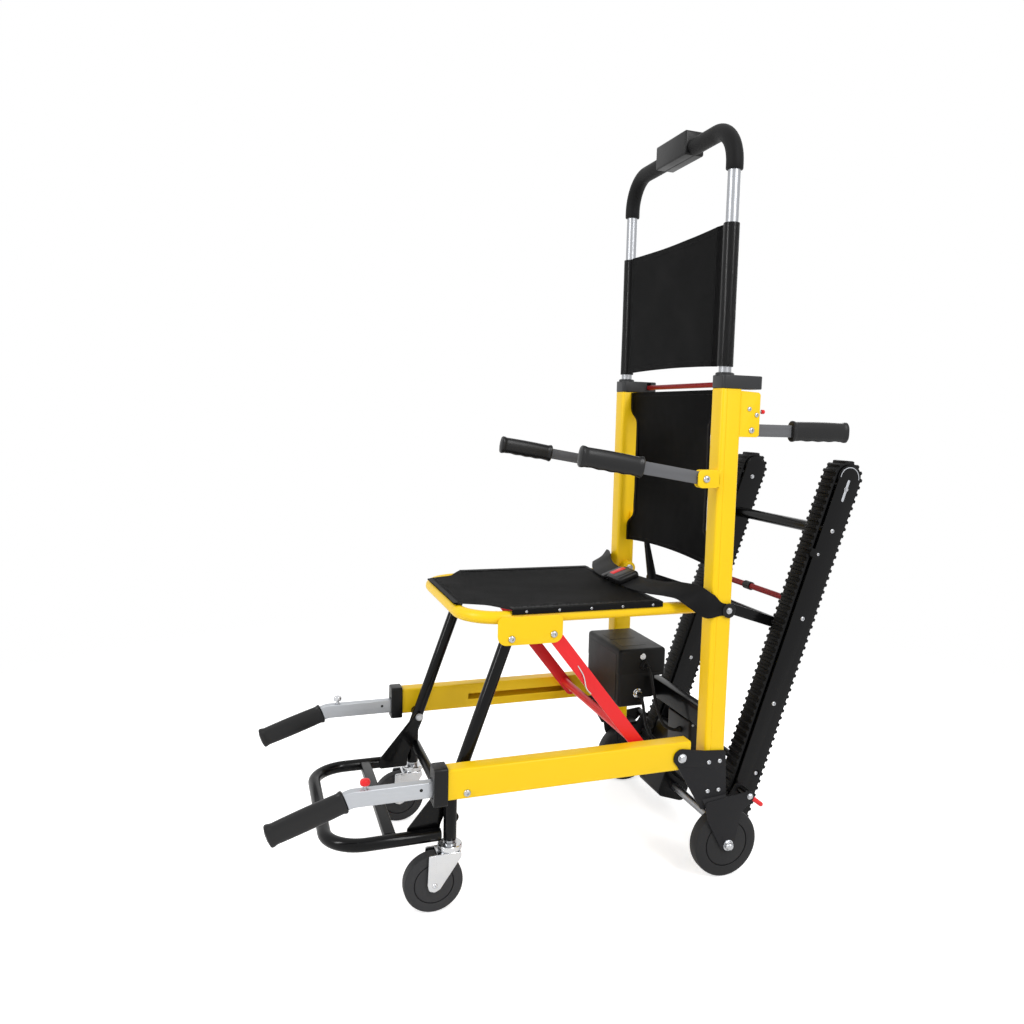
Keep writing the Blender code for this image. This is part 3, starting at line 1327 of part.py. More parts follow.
def make_rear_wheels():
    """Wheel, black bracket with axle and pins, and red brake pedal on each side."""
    wheel_outer = WHEEL_INNER + WHEEL_WIDTH
    plate_inner = WHEEL_INNER - BRACKET_WHEEL_GAP - BRACKET_PLATE
    low_inner = wheel_outer + BRACKET_WHEEL_GAP
    low_outer = low_inner + BRACKET_PLATE
    top_inner = POST_OUTER + CLEARANCE
    top_outer = top_inner + BRACKET_PLATE
    y, z = WHEEL_AXIS
    ear = link_outline(BEAM_PIVOT, (POST_Y, BEAM_PIVOT[1] - 0.012), BRACKET_EAR_RADIUS)
    upper = rounded(
        [
            (POST_FRONT - 0.006, BRACKET_JOG - 0.008),
            (POST_REAR + 0.006, BRACKET_JOG - 0.008),
            (POST_REAR, BRACKET_TOP),
            (BEAM_PIVOT[0], BEAM_PIVOT[1] + 0.75 * BRACKET_EAR_RADIUS),
            (BEAM_PIVOT[0] - 0.7 * BRACKET_EAR_RADIUS, BEAM_PIVOT[1] - 0.6 * BRACKET_EAR_RADIUS),
        ],
        0.006,
        steps=2,
    )
    lower = rounded(
        [
            (POST_FRONT - 0.004, BRACKET_JOG + 0.010),
            (PEDAL_PIVOT[0] + 0.004, PEDAL_PIVOT[1] + 0.010),
            (PEDAL_PIVOT[0] + 0.011, PEDAL_PIVOT[1] - 0.006),
            (y + 0.020, z + 0.010),
            (y + 0.010, BRACKET_FOOT + 0.004),
            (y - 0.012, BRACKET_FOOT + 0.004),
            (y - 0.020, z + 0.012),
        ],
        0.006,
        steps=2,
    )
    inside = rounded(
        [
            (POST_Y, BRACKET_BRIDGE_TOP),
            (POST_Y + 0.050, BRACKET_BRIDGE_TOP),
            (PEDAL_PIVOT[0] - 0.008, PEDAL_PIVOT[1] + 0.010),
            (PEDAL_PIVOT[0] + 0.011, PEDAL_PIVOT[1] + 0.006),
            (TRACK_PIVOT[0] + 0.016, TRACK_PIVOT[1] + 0.010),
            (TRACK_PIVOT[0] + 0.010, BRACKET_FOOT),
            (y - 0.010, BRACKET_FOOT + 0.006),
            (y - 0.020, z + 0.012),
        ],
        0.005,
        steps=2,
    )
    profile = wheel_profile(
        WHEEL_RADIUS, WHEEL_WIDTH, clear(AXLE_RADIUS), WHEEL_HUB_RADIUS, WHEEL_RIM_RADIUS, WHEEL_DISH, 0.005
    )
    pedal_x = WHEEL_INNER + WHEEL_WIDTH / 2
    pedal_outline = link_outline(PEDAL_PIVOT, PEDAL_TIP, PEDAL_THICKNESS / 2, steps=3)
    for side, sign in SIDES.items():
        base = plate(upper, "YZ", pair(sign, top_inner, top_outer))
        add = [
            plate(ear, "YZ", pair(sign, top_inner, top_outer)),
            rod_x(pair(sign, BEAM_INNER, top_inner + OVERLAP), BEAM_PIVOT, AXLE_RADIUS, 12),
            box(
                pair(sign, top_inner, low_outer),
                (POST_FRONT - 0.002, POST_REAR + 0.004),
                (BRACKET_JOG, BRACKET_JOG + 0.006),
            ),
            plate(lower, "YZ", pair(sign, low_inner, low_outer)),
            box(
                pair(sign, plate_inner, low_outer - OVERLAP / 2),
                (POST_Y, POST_Y + 0.050),
                (BRACKET_BRIDGE_FOOT, BRACKET_BRIDGE_TOP),
            ),
            plate(inside, "YZ", pair(sign, plate_inner, plate_inner + BRACKET_PLATE)),
            rod_x(pair(sign, plate_inner + OVERLAP / 2, low_outer + 0.002), WHEEL_AXIS, AXLE_RADIUS),
            rod_x(pair(sign, low_outer - OVERLAP / 2, low_outer + NUT_LENGTH), WHEEL_AXIS, NUT_RADIUS, 6),
            rod_x(pair(sign, plate_inner + OVERLAP, low_inner + OVERLAP), PEDAL_PIVOT, HANDLE_PIN_RADIUS, 12),
        ]
        part(f"wheel_bracket_{side}", "frame", "black_paint", base, add=add)
        wheel = placed(turned(profile), sign * pedal_x, y, z)
        part(f"rear_wheel_{side}", f"rear_wheel_{side}", "grey_rubber", wheel)
        across = (sign * pedal_x - PEDAL_HALF_WIDTH, sign * pedal_x + PEDAL_HALF_WIDTH)
        pedal = rod_x(across, PEDAL_PIVOT, PEDAL_EYE_RADIUS, 12)
        through = (across[0] - OVERLAP, across[1] + OVERLAP)
        bore = rod_x(through, PEDAL_PIVOT, clear(HANDLE_PIN_RADIUS, 12), 12)
        tread = plate(pedal_outline, "YZ", across)
        part(f"brake_pedal_{side}", f"brake_{side}", "red_paint", pedal, add=[tread], cut=[bore])


def on_track(u, v):
    """A (y, z) point at u along the leaning tracks and v behind their middle plane."""
    lean = math.radians(TRACK_LEAN)
    y = TRACK_PIVOT[0] + u * math.sin(lean) + v * math.cos(lean)
    z = TRACK_PIVOT[1] + u * math.cos(lean) - v * math.sin(lean)
    return (y, z)


def track_loop(distance, radius, pitch_radius):
    """The (u, v) point of the belt's loop at a distance along its pitch line, out at the given radius."""
    half_turn = math.pi * pitch_radius
    if distance < TRACK_LENGTH:
        return (distance, radius)
    distance -= TRACK_LENGTH
    if distance < half_turn:
        angle = distance / pitch_radius
        return (TRACK_LENGTH + radius * math.sin(angle), radius * math.cos(angle))
    distance -= half_turn
    if distance < TRACK_LENGTH:
        return (TRACK_LENGTH - distance, -radius)
    angle = (distance - TRACK_LENGTH) / pitch_radius
    return (-radius * math.sin(angle), -radius * math.cos(angle))


def belt_outline():
    carcass = TRACK_INNER_RADIUS + TRACK_CARCASS
    whole = 2 * TRACK_LENGTH + 2 * math.pi * carcass
    teeth = round(whole / TRACK_TOOTH_PITCH)
    pitch = whole / teeth
    line = []
    for tooth in range(teeth):
        for part_way, height in ((0.0, 0.0), (0.42, 0.0), (0.55, TRACK_TOOTH), (0.87, TRACK_TOOTH)):
            u, v = track_loop((tooth + part_way) * pitch, carcass + height, carcass)
            line.append(on_track(u, v))
    return line


def make_tracks():
    roller_sides = 16
    first, last = on_track(0.0, 0.0), on_track(TRACK_LENGTH, 0.0)
    inside = link_outline(first, last, TRACK_INNER_RADIUS, steps=roller_sides // 2)
    roller_radius = TRACK_INNER_RADIUS * math.cos(math.pi / roller_sides) - 2 * CLEARANCE
    plate_outline = link_outline(first, last, TRACK_PLATE_HALF, steps=8)
    belt_half = TRACK_BELT_WIDTH / 2
    plate_near = belt_half + TRACK_PLATE_GAP
    teeth = belt_outline()
    plates = []
    add = []
    for side, sign in SIDES.items():
        for low in (TRACK_X - plate_near - TRACK_PLATE, TRACK_X + plate_near):
            plates.append(plate(plate_outline, "YZ", pair(sign, low, low + TRACK_PLATE)))
        across = pair(sign, TRACK_X - plate_near - OVERLAP, TRACK_X + plate_near + OVERLAP)
        for point in (first, last):
            add.append(rod_x(across, point, roller_radius, roller_sides))
        width = pair(sign, TRACK_X - belt_half, TRACK_X + belt_half)
        loop = plate(teeth, "YZ", width)
        hollow = plate(inside, "YZ", (width[0] - OVERLAP, width[1] + OVERLAP))
        part(f"track_belt_{side}", "track", "black_rubber", loop, cut=[hollow])
    reach = TRACK_X + plate_near + OVERLAP
    add.append(rod_x((-reach, reach), on_track(TRACK_UPPER_BAR, 0.0), TRACK_UPPER_BAR_RADIUS, 12))
    add.append(rod_x((-reach, reach), on_track(TRACK_LOWER_BAR, TRACK_LOWER_BAR_SET), TRACK_BAR_RADIUS, 12))
    whole = (-reach - 2 * TRACK_PLATE, reach + 2 * TRACK_PLATE)
    shaft_bore = rod_x(whole, TRACK_PIVOT, clear(SHAFT_RADIUS))
    part("track_frame", "track", "black_paint", plates[0], add=add + plates[1:], cut=[shaft_bore])

    gearbox_above = TRACK_LOWER_BAR - TRACK_BAR_RADIUS - CLEARANCE
    corners = [
        (-GEARBOX_BELOW, -GEARBOX_HALF),
        (gearbox_above, -GEARBOX_HALF),
        (gearbox_above, GEARBOX_HALF),
        (-GEARBOX_BELOW, GEARBOX_HALF),
    ]
    outline = rounded([on_track(u, v) for u, v in corners], GEARBOX_CORNER, steps=3)
    gearbox = plate(outline, "YZ", (GEARBOX_RIGHT, MOTOR_RIGHT))
    motor = rod_x((MOTOR_RIGHT - OVERLAP, MOTOR_LEFT), on_track(MOTOR_ALONG, 0.0), MOTOR_RADIUS, 24)
    motor_bore = rod_x(whole, TRACK_PIVOT, clear(SHAFT_RADIUS))
    part("drive_motor", "track", "black_paint", gearbox, add=[motor], cut=[motor_bore])
    shaft_end = WHEEL_INNER - BRACKET_WHEEL_GAP - BRACKET_PLATE - CLEARANCE
    part("drive_shaft", "shaft", "silver_metal", rod_x((-shaft_end, shaft_end), TRACK_PIVOT, SHAFT_RADIUS))


def make_strut():
    outlines = [
        link_outline(STRUT_PIVOT, STRUT_FAR_POINT, STRUT_HALF_HEIGHT),
        link_outline(STRUT_FAR_POINT, PUSH_POINT, STRUT_HALF_HEIGHT),
    ]
    half = STRUT_THICKNESS / 2
    arms = []
    cut = []
    for sign in SIDES.values():
        across = pair(sign, STRUT_X - half, STRUT_X + half)
        arms += [plate(outline, "YZ", across) for outline in outlines]
        cut.append(rod_x((across[0] - OVERLAP, across[1] + OVERLAP), STRUT_PIVOT, clear(PIN_RADIUS, 12), 12))
    reach = TRACK_X - TRACK_BELT_WIDTH / 2 - TRACK_PLATE_GAP - TRACK_PLATE - CLEARANCE
    cross = rod_x((-reach, reach), STRUT_FAR_POINT, STRUT_BAR_RADIUS, 12)
    part("track_strut", "strut", "black_paint", arms[0], add=[arms[1], cross, arms[2], arms[3]], cut=cut)
    bar_reach = STRUT_X - half - CLEARANCE
    part("push_bar", "strut", "red_paint", rod_x((-bar_reach, bar_reach), PUSH_POINT, PUSH_BAR_RADIUS, 12))


def centre_over_origin():
    """Slides the whole chair along Y until the box round it is centred on the origin."""
    bpy.context.view_layer.update()
    graph = bpy.context.evaluated_depsgraph_get()
    ends = []
    for obj in PARTS.objects:
        if obj.type == "MESH":
            solid = obj.evaluated_get(graph)
            ends += [(solid.matrix_world @ Vector(corner)).y for corner in solid.bound_box]
    frame_empty = BODIES["frame"][0]
    frame_empty.location.y = -(min(ends) + max(ends)) / 2
    print(f"working frame shifted along Y by {frame_empty.location.y * 1000:.2f} mm")


make_posts()
make_caps_and_release()
make_push_handle()
make_back()
make_cross_members()
make_battery_and_controller()
make_leads()
make_seat()
make_leg_frame()
make_footrest()
make_casters()
make_beams_and_front_handles()
make_brace()
make_arms_and_rear_handles()
make_rear_wheels()
make_tracks()
make_strut()
centre_over_origin()
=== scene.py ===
# %% [markdown]
# A stair climbing wheelchair, dressed for a picture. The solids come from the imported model, which stays
# fixed: it says where every piece is and what it moves with. This lesson builds the finer pieces over those
# solids, one family at a time: painted tubes and plates, turned wheels, rubber grips and tracks, cloth,
# webbing and leads. Each piece rides on the body it belongs to.

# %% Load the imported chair
import json
import math

import bmesh
import bpy
from mathutils import Matrix, Vector, noise

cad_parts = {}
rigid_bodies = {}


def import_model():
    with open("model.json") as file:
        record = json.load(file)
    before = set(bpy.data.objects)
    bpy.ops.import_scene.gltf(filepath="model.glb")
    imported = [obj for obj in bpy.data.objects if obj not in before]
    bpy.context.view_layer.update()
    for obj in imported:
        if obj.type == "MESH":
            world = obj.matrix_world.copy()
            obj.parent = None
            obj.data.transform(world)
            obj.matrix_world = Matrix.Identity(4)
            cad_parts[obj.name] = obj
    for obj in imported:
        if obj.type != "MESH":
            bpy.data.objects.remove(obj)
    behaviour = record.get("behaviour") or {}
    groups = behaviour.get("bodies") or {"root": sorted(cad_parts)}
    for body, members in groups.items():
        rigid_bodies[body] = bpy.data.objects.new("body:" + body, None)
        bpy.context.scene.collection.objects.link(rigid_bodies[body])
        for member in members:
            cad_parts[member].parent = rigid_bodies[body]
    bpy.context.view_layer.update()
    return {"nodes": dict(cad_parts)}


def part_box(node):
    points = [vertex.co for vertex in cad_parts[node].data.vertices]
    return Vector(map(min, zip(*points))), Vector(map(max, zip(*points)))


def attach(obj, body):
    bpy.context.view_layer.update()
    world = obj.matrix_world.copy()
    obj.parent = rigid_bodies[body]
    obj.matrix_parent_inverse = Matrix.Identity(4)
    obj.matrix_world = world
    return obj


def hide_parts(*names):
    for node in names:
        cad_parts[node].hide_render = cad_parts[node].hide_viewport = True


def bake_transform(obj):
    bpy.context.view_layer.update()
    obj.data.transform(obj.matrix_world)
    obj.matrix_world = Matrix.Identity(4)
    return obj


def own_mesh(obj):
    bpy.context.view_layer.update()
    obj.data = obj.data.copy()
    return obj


for leftover in list(bpy.data.objects):
    bpy.data.objects.remove(leftover, do_unlink=True)
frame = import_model()
low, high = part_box("push_handle_tube")
HANDLE_Y = -0.0007
SHIFT = (low.y + high.y) / 2 - HANDLE_Y
SIDES = {"left": 1, "right": -1}
print(f"loaded {len(frame['nodes'])} nodes, working frame shifted by {SHIFT * 1000:.1f} mm")

# %% [markdown]
# The camera stands where the photographer stood. Its place was solved from the picture's parallel edges and
# wheel ellipses. A small roll and a small lens shift are part of that framing. Depth of field stays off.

# %% Camera
AZIMUTH, ELEVATION, ROLL = math.radians(68.8524), math.radians(5.8535), math.radians(1.7489)
PICTURE = 1024
FOCAL_PIXELS = 862.925
CENTRE_PIXEL = (575.11, 504.93)
SENSOR = 36.0

back = Vector(
    (
        math.sin(AZIMUTH) * math.cos(ELEVATION),
        -math.cos(AZIMUTH) * math.cos(ELEVATION),
        math.sin(ELEVATION),
    )
)
level_right = (-back).cross(Vector((0, 0, 1))).normalized()
level_up = level_right.cross(-back)
right = math.cos(ROLL) * level_right + math.sin(ROLL) * level_up
up = math.cos(ROLL) * level_up - math.sin(ROLL) * level_right
lens = bpy.data.cameras.new("camera")
lens.sensor_width = SENSOR
lens.lens = FOCAL_PIXELS / PICTURE * SENSOR
lens.shift_x = (PICTURE / 2 - CENTRE_PIXEL[0]) / PICTURE
lens.shift_y = (CENTRE_PIXEL[1] - PICTURE / 2) / PICTURE
lens.clip_start = 0.02
camera = bpy.data.objects.new("camera", lens)
bpy.context.scene.collection.objects.link(camera)
camera.matrix_world = Matrix.Translation((1.53203, -0.78509 + SHIFT, 0.83095)) @ Matrix(
    (right, up, back)
).transposed().to_4x4()
bpy.context.scene.camera = camera
bpy.context.scene.view_settings.view_transform = "Standard"
print(f"camera lens {lens.lens:.2f} mm, shift {lens.shift_x:.4f} {lens.shift_y:.4f}")

# %% [markdown]
# Shader maths reads best as maths. A Wire holds one node socket, and adding or multiplying wires adds the
# Math nodes behind the scenes. A wire can also be taken from a number, so 1 - mask is fine. Nodes makes any
# node of a tree by its type. A Finish is the tree of one material, and it keeps constants on the shader's
# own sockets.


# %% Wires and finishes
class Wire:
    """One output of a node, ready for sums."""

    def __init__(self, nodes, socket):
        self.nodes = nodes
        self.socket = socket

    def math(self, operation, *values):
        """A Math node over wires and numbers."""
        return self.nodes.node("ShaderNodeMath", {"operation": operation}, dict(enumerate(values)))

    def __add__(self, other):
        return self.math("ADD", self, other)

    def __mul__(self, other):
        return self.math("MULTIPLY", self, other)

    def __rsub__(self, other):
        return self.math("SUBTRACT", other, self)

    def sine(self):
        """The sine of an angle in radians."""
        return self.math("SINE", self)

    def smooth(self, start, end):
        """A soft step from 0 at start to 1 at end."""
        values = {"Value": self, "From Min": start, "From Max": end}
        return self.nodes.node("ShaderNodeMapRange", {"interpolation_type": "SMOOTHSTEP"}, values, "Result")


class Nodes:
    """A node tree, with one way to add any node to it."""

    def __init__(self, tree):
        self.tree = tree

    def fill(self, target, value):
        """Links a wire to a socket, or puts a constant on it."""
        if isinstance(value, Wire):
            self.tree.links.new(value.socket, target)
        elif isinstance(value, tuple) and target.type == "RGBA":
            target.default_value = (*value, 1.0)
        else:
            target.default_value = value

    def node(self, kind, settings=None, values=None, output=0):
        """Adds a node: its settings first, then the values or wires of its sockets."""
        made = self.tree.nodes.new(kind)
        for key, value in (settings or {}).items():
            setattr(made, key, value)
        for key, value in (values or {}).items():
            self.fill(made.inputs[key], value)
        return Wire(self, made.outputs[output])

    def rays(self):
        """Three wires that are 1 for what the camera, a reflection or clear material sees."""
        kinds = ("Camera", "Glossy", "Transmission")
        return [self.node("ShaderNodeLightPath", output=f"Is {kind} Ray") for kind in kinds]


class Finish(Nodes):
    """One named material with its shader."""

    def __init__(self, name, slot, **constants):
        self.material = bpy.data.materials.new(name)
        self.material.use_nodes = True
        super().__init__(self.material.node_tree)
        self.shader = self.tree.nodes["Principled BSDF"]
        self.slot = slot
        for socket, value in constants.items():
            self.set(socket.replace("_", " ").title().replace("Ior", "IOR"), value)

    def set(self, socket, value):
        """Sets one of the shader's sockets to a constant or a wire."""
        self.fill(self.shader.inputs[socket], value)
        return self

    def place(self):
        """The point on the surface, in metres in the chair's own frame."""
        return self.node("ShaderNodeTexCoord", output="Object")

    def noise(self, scale, detail=3.0, stretch=(1.0, 1.0, 1.0)):
        """Smooth noise from 0 to 1, finer along an axis with a larger stretch."""
        at = self.node("ShaderNodeMapping", values={"Vector": self.place(), "Scale": stretch})
        return self.node("ShaderNodeTexNoise", values={"Vector": at, "Scale": scale, "Detail": detail})

    def axis(self, name):
        """One coordinate of the point on the surface."""
        return self.node("ShaderNodeSeparateXYZ", values={"Vector": self.place()}, output=name)

    def mix(self, factor, first, last):
        """A colour between two colours. On this node, inputs 6 and 7 and output 2 are the colours."""
        return self.node("ShaderNodeMix", {"data_type": "RGBA"}, {0: factor, 6: first, 7: last}, 2)

    def bump(self, height, distance, strength=1.0):
        """Tilts the shading by a height wire, whose full swing is distance metres."""
        values = {"Height": height, "Distance": distance, "Strength": strength}
        return self.set("Normal", self.node("ShaderNodeBump", values=values))

    def vary(self, colour, amount, scale, roughness, spread):
        """Uneven colour and gloss at one scale, as real coatings and mouldings have."""
        patch = self.noise(scale)
        darker = tuple(channel * (1 - amount) for channel in colour)
        self.set("Base Color", self.mix(patch, darker, colour))
        self.set("Roughness", self.noise(scale * 2.3) * (2 * spread) + (roughness - spread))
        return self


print("wires and finishes ready")

# %% [markdown]
# The studio is a pale floor and soft light. The floor fades out with distance, so it has no edge, and the
# world shows plain white to the camera and to reflections. The floor glows a little for both, so that only
# a soft shadow is left on it. The light on the chair stays level, so that colours render about as they are
# written. Two tall, narrow lamps, at the camera's side and in front, draw long highlights down the tubes,
# and a weak one stands behind.

# %% Floor, world and lamps
FLOOR_RADIUS, FLOOR_SIDES, FLOOR_Z = 3.0, 96, -0.0005
FLOOR_COLOUR = (0.93, 0.93, 0.93)
FADE_START, FADE_END = 0.8, 2.0
FLOOR_GLOW, GLOW_IN_METAL = 0.6, 0.25
SKY_LIGHT = 0.62

floor_mesh = bpy.data.meshes.new("floor")
bm = bmesh.new()
bmesh.ops.create_circle(bm, cap_ends=True, segments=FLOOR_SIDES, radius=FLOOR_RADIUS)
bm.to_mesh(floor_mesh)
bm.free()
floor = bpy.data.objects.new("floor", floor_mesh)
bpy.context.scene.collection.objects.link(floor)
floor.location.z = FLOOR_Z
floor_finish = Finish("floor", None, base_color=FLOOR_COLOUR, roughness=0.7, emission_strength=FLOOR_GLOW)
camera_ray, glossy_ray, clear_ray = floor_finish.rays()
floor_finish.set("Emission Color", camera_ray + (glossy_ray + clear_ray) * GLOW_IN_METAL)
reach = floor_finish.node("ShaderNodeVectorMath", {"operation": "LENGTH"}, {0: floor_finish.place()}, "Value")
floor_finish.set("Alpha", 1 - reach.smooth(FADE_START, FADE_END))
floor_mesh.materials.append(floor_finish.material)

world = bpy.data.worlds.new("studio")
bpy.context.scene.world = world
world.use_nodes = True
sky = Nodes(world.node_tree)
camera_ray, glossy_ray, clear_ray = sky.rays()
values = {"Value": camera_ray + glossy_ray + clear_ray, "To Min": SKY_LIGHT, "To Max": 1.0}
background = world.node_tree.nodes["Background"]
sky.fill(background.inputs["Strength"], sky.node("ShaderNodeMapRange", values=values, output="Result"))
sky.fill(background.inputs["Color"], (1.0, 1.0, 1.0))


def lamp(name, place, size, power):
    """A soft lamp of this width and height, aimed at the chair's middle."""
    light = bpy.data.lights.new(name, "AREA")
    light.shape = "RECTANGLE"
    light.size, light.size_y = size
    light.energy = power
    obj = bpy.data.objects.new(name, light)
    bpy.context.scene.collection.objects.link(obj)
    obj.location = place
    obj.rotation_euler = (Vector(place) - Vector(CHAIR_MIDDLE)).to_track_quat("Z", "Y").to_euler()


CHAIR_MIDDLE = (0.0, 0.0, 0.6)
lamp("side_lamp", (2.3, 0.7, 2.3), (0.6, 1.8), 36)
lamp("front_lamp", (0.6, -2.6, 1.9), (0.4, 1.4), 30)
lamp("back_lamp", (-1.8, 2.0, 2.0), (1.4, 1.4), 12)
print("floor, world and three lamps")

# %% [markdown]
# Finishes of the hard pieces. Powder coat has a faint orange-peel bump and uneven gloss. Black enamel is
# smoother and wears a clear coat, and the wheel brackets are a duller satin black. Bare aluminium is drawn
# out along the bar, so its scratches run that way. Zinc on the screws is brighter and a little blotchy.
# Every colour changes slightly over the surface.


# %% Paints and metals
def paint(name, slot, colour, roughness, coat, peel=0.00006, specular=0.3):
    """Paint with uneven colour and gloss, and a fine peel."""
    made = Finish(name, slot, coat_weight=coat, coat_roughness=0.12, specular_ior_level=specular)
    made.vary(colour, amount=0.06, scale=5.0, roughness=roughness, spread=0.05)
    return made.bump(made.noise(700.0, detail=2.0), distance=peel, strength=0.5)


def metal(name, slot, colour, roughness, stretch, scale=60.0, depth=0.00004):
    """Bare metal with a grain, drawn out along the axis that has the smaller stretch."""
    made = Finish(name, slot, metallic=1.0)
    grain = made.noise(scale, 4.0, stretch)
    made.set("Base Color", made.mix(grain, tuple(0.86 * channel for channel in colour), colour))
    made.set("Roughness", made.noise(9.0) * 0.1 + grain * 0.1 + (roughness - 0.1))
    return made.bump(grain, distance=depth, strength=0.4)


YELLOW = paint("yellow_powder_coat", "yellow_paint", (1.0, 0.645, 0.004), 0.4, 0.03)
RED = paint("red_powder_coat", "red_paint", (0.84, 0.02, 0.024), 0.38, 0.06)
DARK_RED = paint("dark_red_sleeve", "red_paint", (0.30, 0.009, 0.013), 0.5, 0.0, 0.0001)
BLACK = paint("black_enamel", "black_paint", (0.003, 0.003, 0.0034), 0.3, 0.25, 0.00002, 0.06)
SATIN_BLACK = paint("satin_black", "black_paint", (0.017, 0.017, 0.0185), 0.45, 0.0, 0.00005, 0.12)
GREY = paint("grey_satin_paint", "grey_paint", (0.13, 0.132, 0.14), 0.42, 0.05)
ALUMINIUM = metal("drawn_aluminium", "silver_metal", (0.55, 0.57, 0.60), 0.42, (40, 1, 40))
TUBE_METAL = metal("satin_tube", "silver_metal", (0.40, 0.41, 0.43), 0.38, (12, 12, 1))
CHROME = metal("bright_plate", "chrome", (0.72, 0.73, 0.75), 0.18, (1, 1, 1), 30.0, 0.00002)
ZINC = metal("zinc_screws", "chrome", (0.54, 0.55, 0.57), 0.28, (1, 1, 1), 500.0)
print("paints and metals ready")

# %% [markdown]
# Finishes of the soft and moulded pieces. Moulded plastic has a fine spark-eroded grain, rubber a duller
# and coarser one. Cloth is woven: two sets of fine ridges cross, and the bump follows them. Webbing has
# heavier ribs along its length. The weave lies in the plane that the cloth hangs or is stretched in. The
# upper sleeve shines where it is pulled tight round the handle's tubes, so it gets a clear coat from there
# outwards.


# %% Plastics, rubbers and cloth
def moulded(name, slot, colour, roughness, grain, depth, sheen=0.0, specular=0.16):
    """Plastic, rubber or foam with a fine moulded grain."""
    made = Finish(name, slot, sheen_weight=sheen, specular_ior_level=specular)
    made.vary(colour, amount=0.18, scale=14.0, roughness=roughness, spread=0.07)
    return made.bump(made.noise(grain, detail=2.0), distance=depth, strength=0.6)


def woven(name, colour, first, second, pitch, roughness, depth, sheen, specular=0.1):
    """Cloth with ridges across two axes of the chair."""
    made = Finish(name, "black_cloth", sheen_weight=sheen, sheen_roughness=0.4, specular_ior_level=specular)
    turns = 2 * math.pi / pitch
    weave = (made.axis(first) * turns).sine() * (made.axis(second) * turns).sine() * 0.5 + 0.5
    patch = made.noise(7.0, 4.0)
    pale = tuple(channel * 1.5 for channel in colour)
    made.set("Base Color", made.mix(weave * 0.5 + patch * 0.5, colour, pale))
    made.set("Roughness", patch * 0.16 + (roughness - 0.08))
    return made.bump(weave * 0.6 + made.noise(160.0) * 0.4, distance=depth, strength=0.7)


FINE_GRAIN = {"roughness": 0.36, "grain": 900.0, "depth": 0.00004, "specular": 0.24}
PLASTIC = moulded("moulded_plastic", "black_plastic", (0.0075, 0.0075, 0.008), **FINE_GRAIN)
CAP_PLASTIC = moulded("cap_plastic", "black_plastic", (0.034, 0.035, 0.037), **FINE_GRAIN)
CASE = moulded("battery_moulding", "black_plastic", (0.0125, 0.0127, 0.013), 0.42, 700.0, 0.00008)
GRIP = moulded("grip_rubber", "black_rubber", (0.008, 0.008, 0.0085), 0.34, 500.0, 0.00005, 0.0, 0.34)
TRACK_RUBBER = moulded("track_rubber", "black_rubber", (0.0075, 0.0075, 0.008), 0.55, 260.0, 0.00012)
LEAD = moulded("lead_jacket", "black_rubber", (0.008, 0.008, 0.0085), 0.42, 600.0, 0.00004)
TYRE = moulded("rear_tyre", "grey_rubber", (0.020, 0.020, 0.021), 0.5, 300.0, 0.00006, 0.0, 0.2)
CASTER_RUBBER = moulded("caster_rubber", "grey_rubber", (0.044, 0.044, 0.046), 0.55, 300.0, 0.00006)
FOAM = moulded("handle_foam", "black_foam", (0.006, 0.006, 0.0063), 0.6, 1200.0, 0.0001, 0.03, 0.15)
SEAT_CLOTH = woven("seat_cloth", (0.003, 0.003, 0.0033), "X", "Y", 0.0016, 0.6, 0.00012, 0.01)
BACK_CLOTH = woven("back_cloth", (0.0018, 0.0018, 0.002), "X", "Z", 0.0016, 0.45, 0.00007, 0.0, 0.05)
SLEEVE_CLOTH = woven("sleeve_cloth", (0.003, 0.003, 0.0033), "X", "Z", 0.0016, 0.45, 0.00007, 0.0, 0.08)
LOOP_EDGE = (0.190, 0.196)
sideways = SLEEVE_CLOTH.axis("X")
loops = sideways.math("ABSOLUTE", sideways).smooth(*LOOP_EDGE)
SLEEVE_CLOTH.set("Coat Weight", loops * 0.7).set("Coat Roughness", 0.24)
WEBBING = woven("belt_webbing", (0.005, 0.005, 0.0053), "X", "Y", 0.0022, 0.55, 0.0002, 0.04)
THREAD = moulded("sewing_thread", "black_cloth", (0.014, 0.014, 0.015), 0.6, 1500.0, 0.0001)
print("plastics, rubbers and cloth ready")

# %% [markdown]
# A few mesh tools make nearly every piece. A loft skins a row of equal rings: a tube is a loft of circles
# along a line, a wheel is a loft of circles turned about its axle. A plate is a flat outline with thickness
# and rounded edges, made from a filled curve so that it can have holes. All of them work in the chair's
# working frame, whose Y = 0 is at the push handle, and piece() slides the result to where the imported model
# stands.


# %% Lines and rings
def rounded(points, radius, steps=8, closed=True):
    """The points of a line whose corners are arcs. One radius for all corners, or one for each."""
    corners = [Vector(point) for point in points]
    count = len(corners)
    line = []
    for index, corner in enumerate(corners):
        if not closed and index in (0, count - 1):
            line.append(corner)
            continue
        bend = radius[index] if isinstance(radius, (list, tuple)) else radius
        to_last = (corners[index - 1] - corner).normalized()
        to_next = (corners[(index + 1) % count] - corner).normalized()
        angle = to_last.angle(to_next)
        if math.pi - angle < 0.01 or bend == 0:
            line.append(corner)
            continue
        middle = corner + (to_last + to_next).normalized() * (bend / math.sin(angle / 2))
        span = bend / math.tan(angle / 2)
        first = corner + to_last * span - middle
        last = corner + to_next * span - middle
        sweep = math.pi - angle
        for step in range(steps + 1):
            part = step / steps
            arm = math.sin((1 - part) * sweep) * first + math.sin(part * sweep) * last
            line.append(middle + arm / math.sin(sweep))
    return line


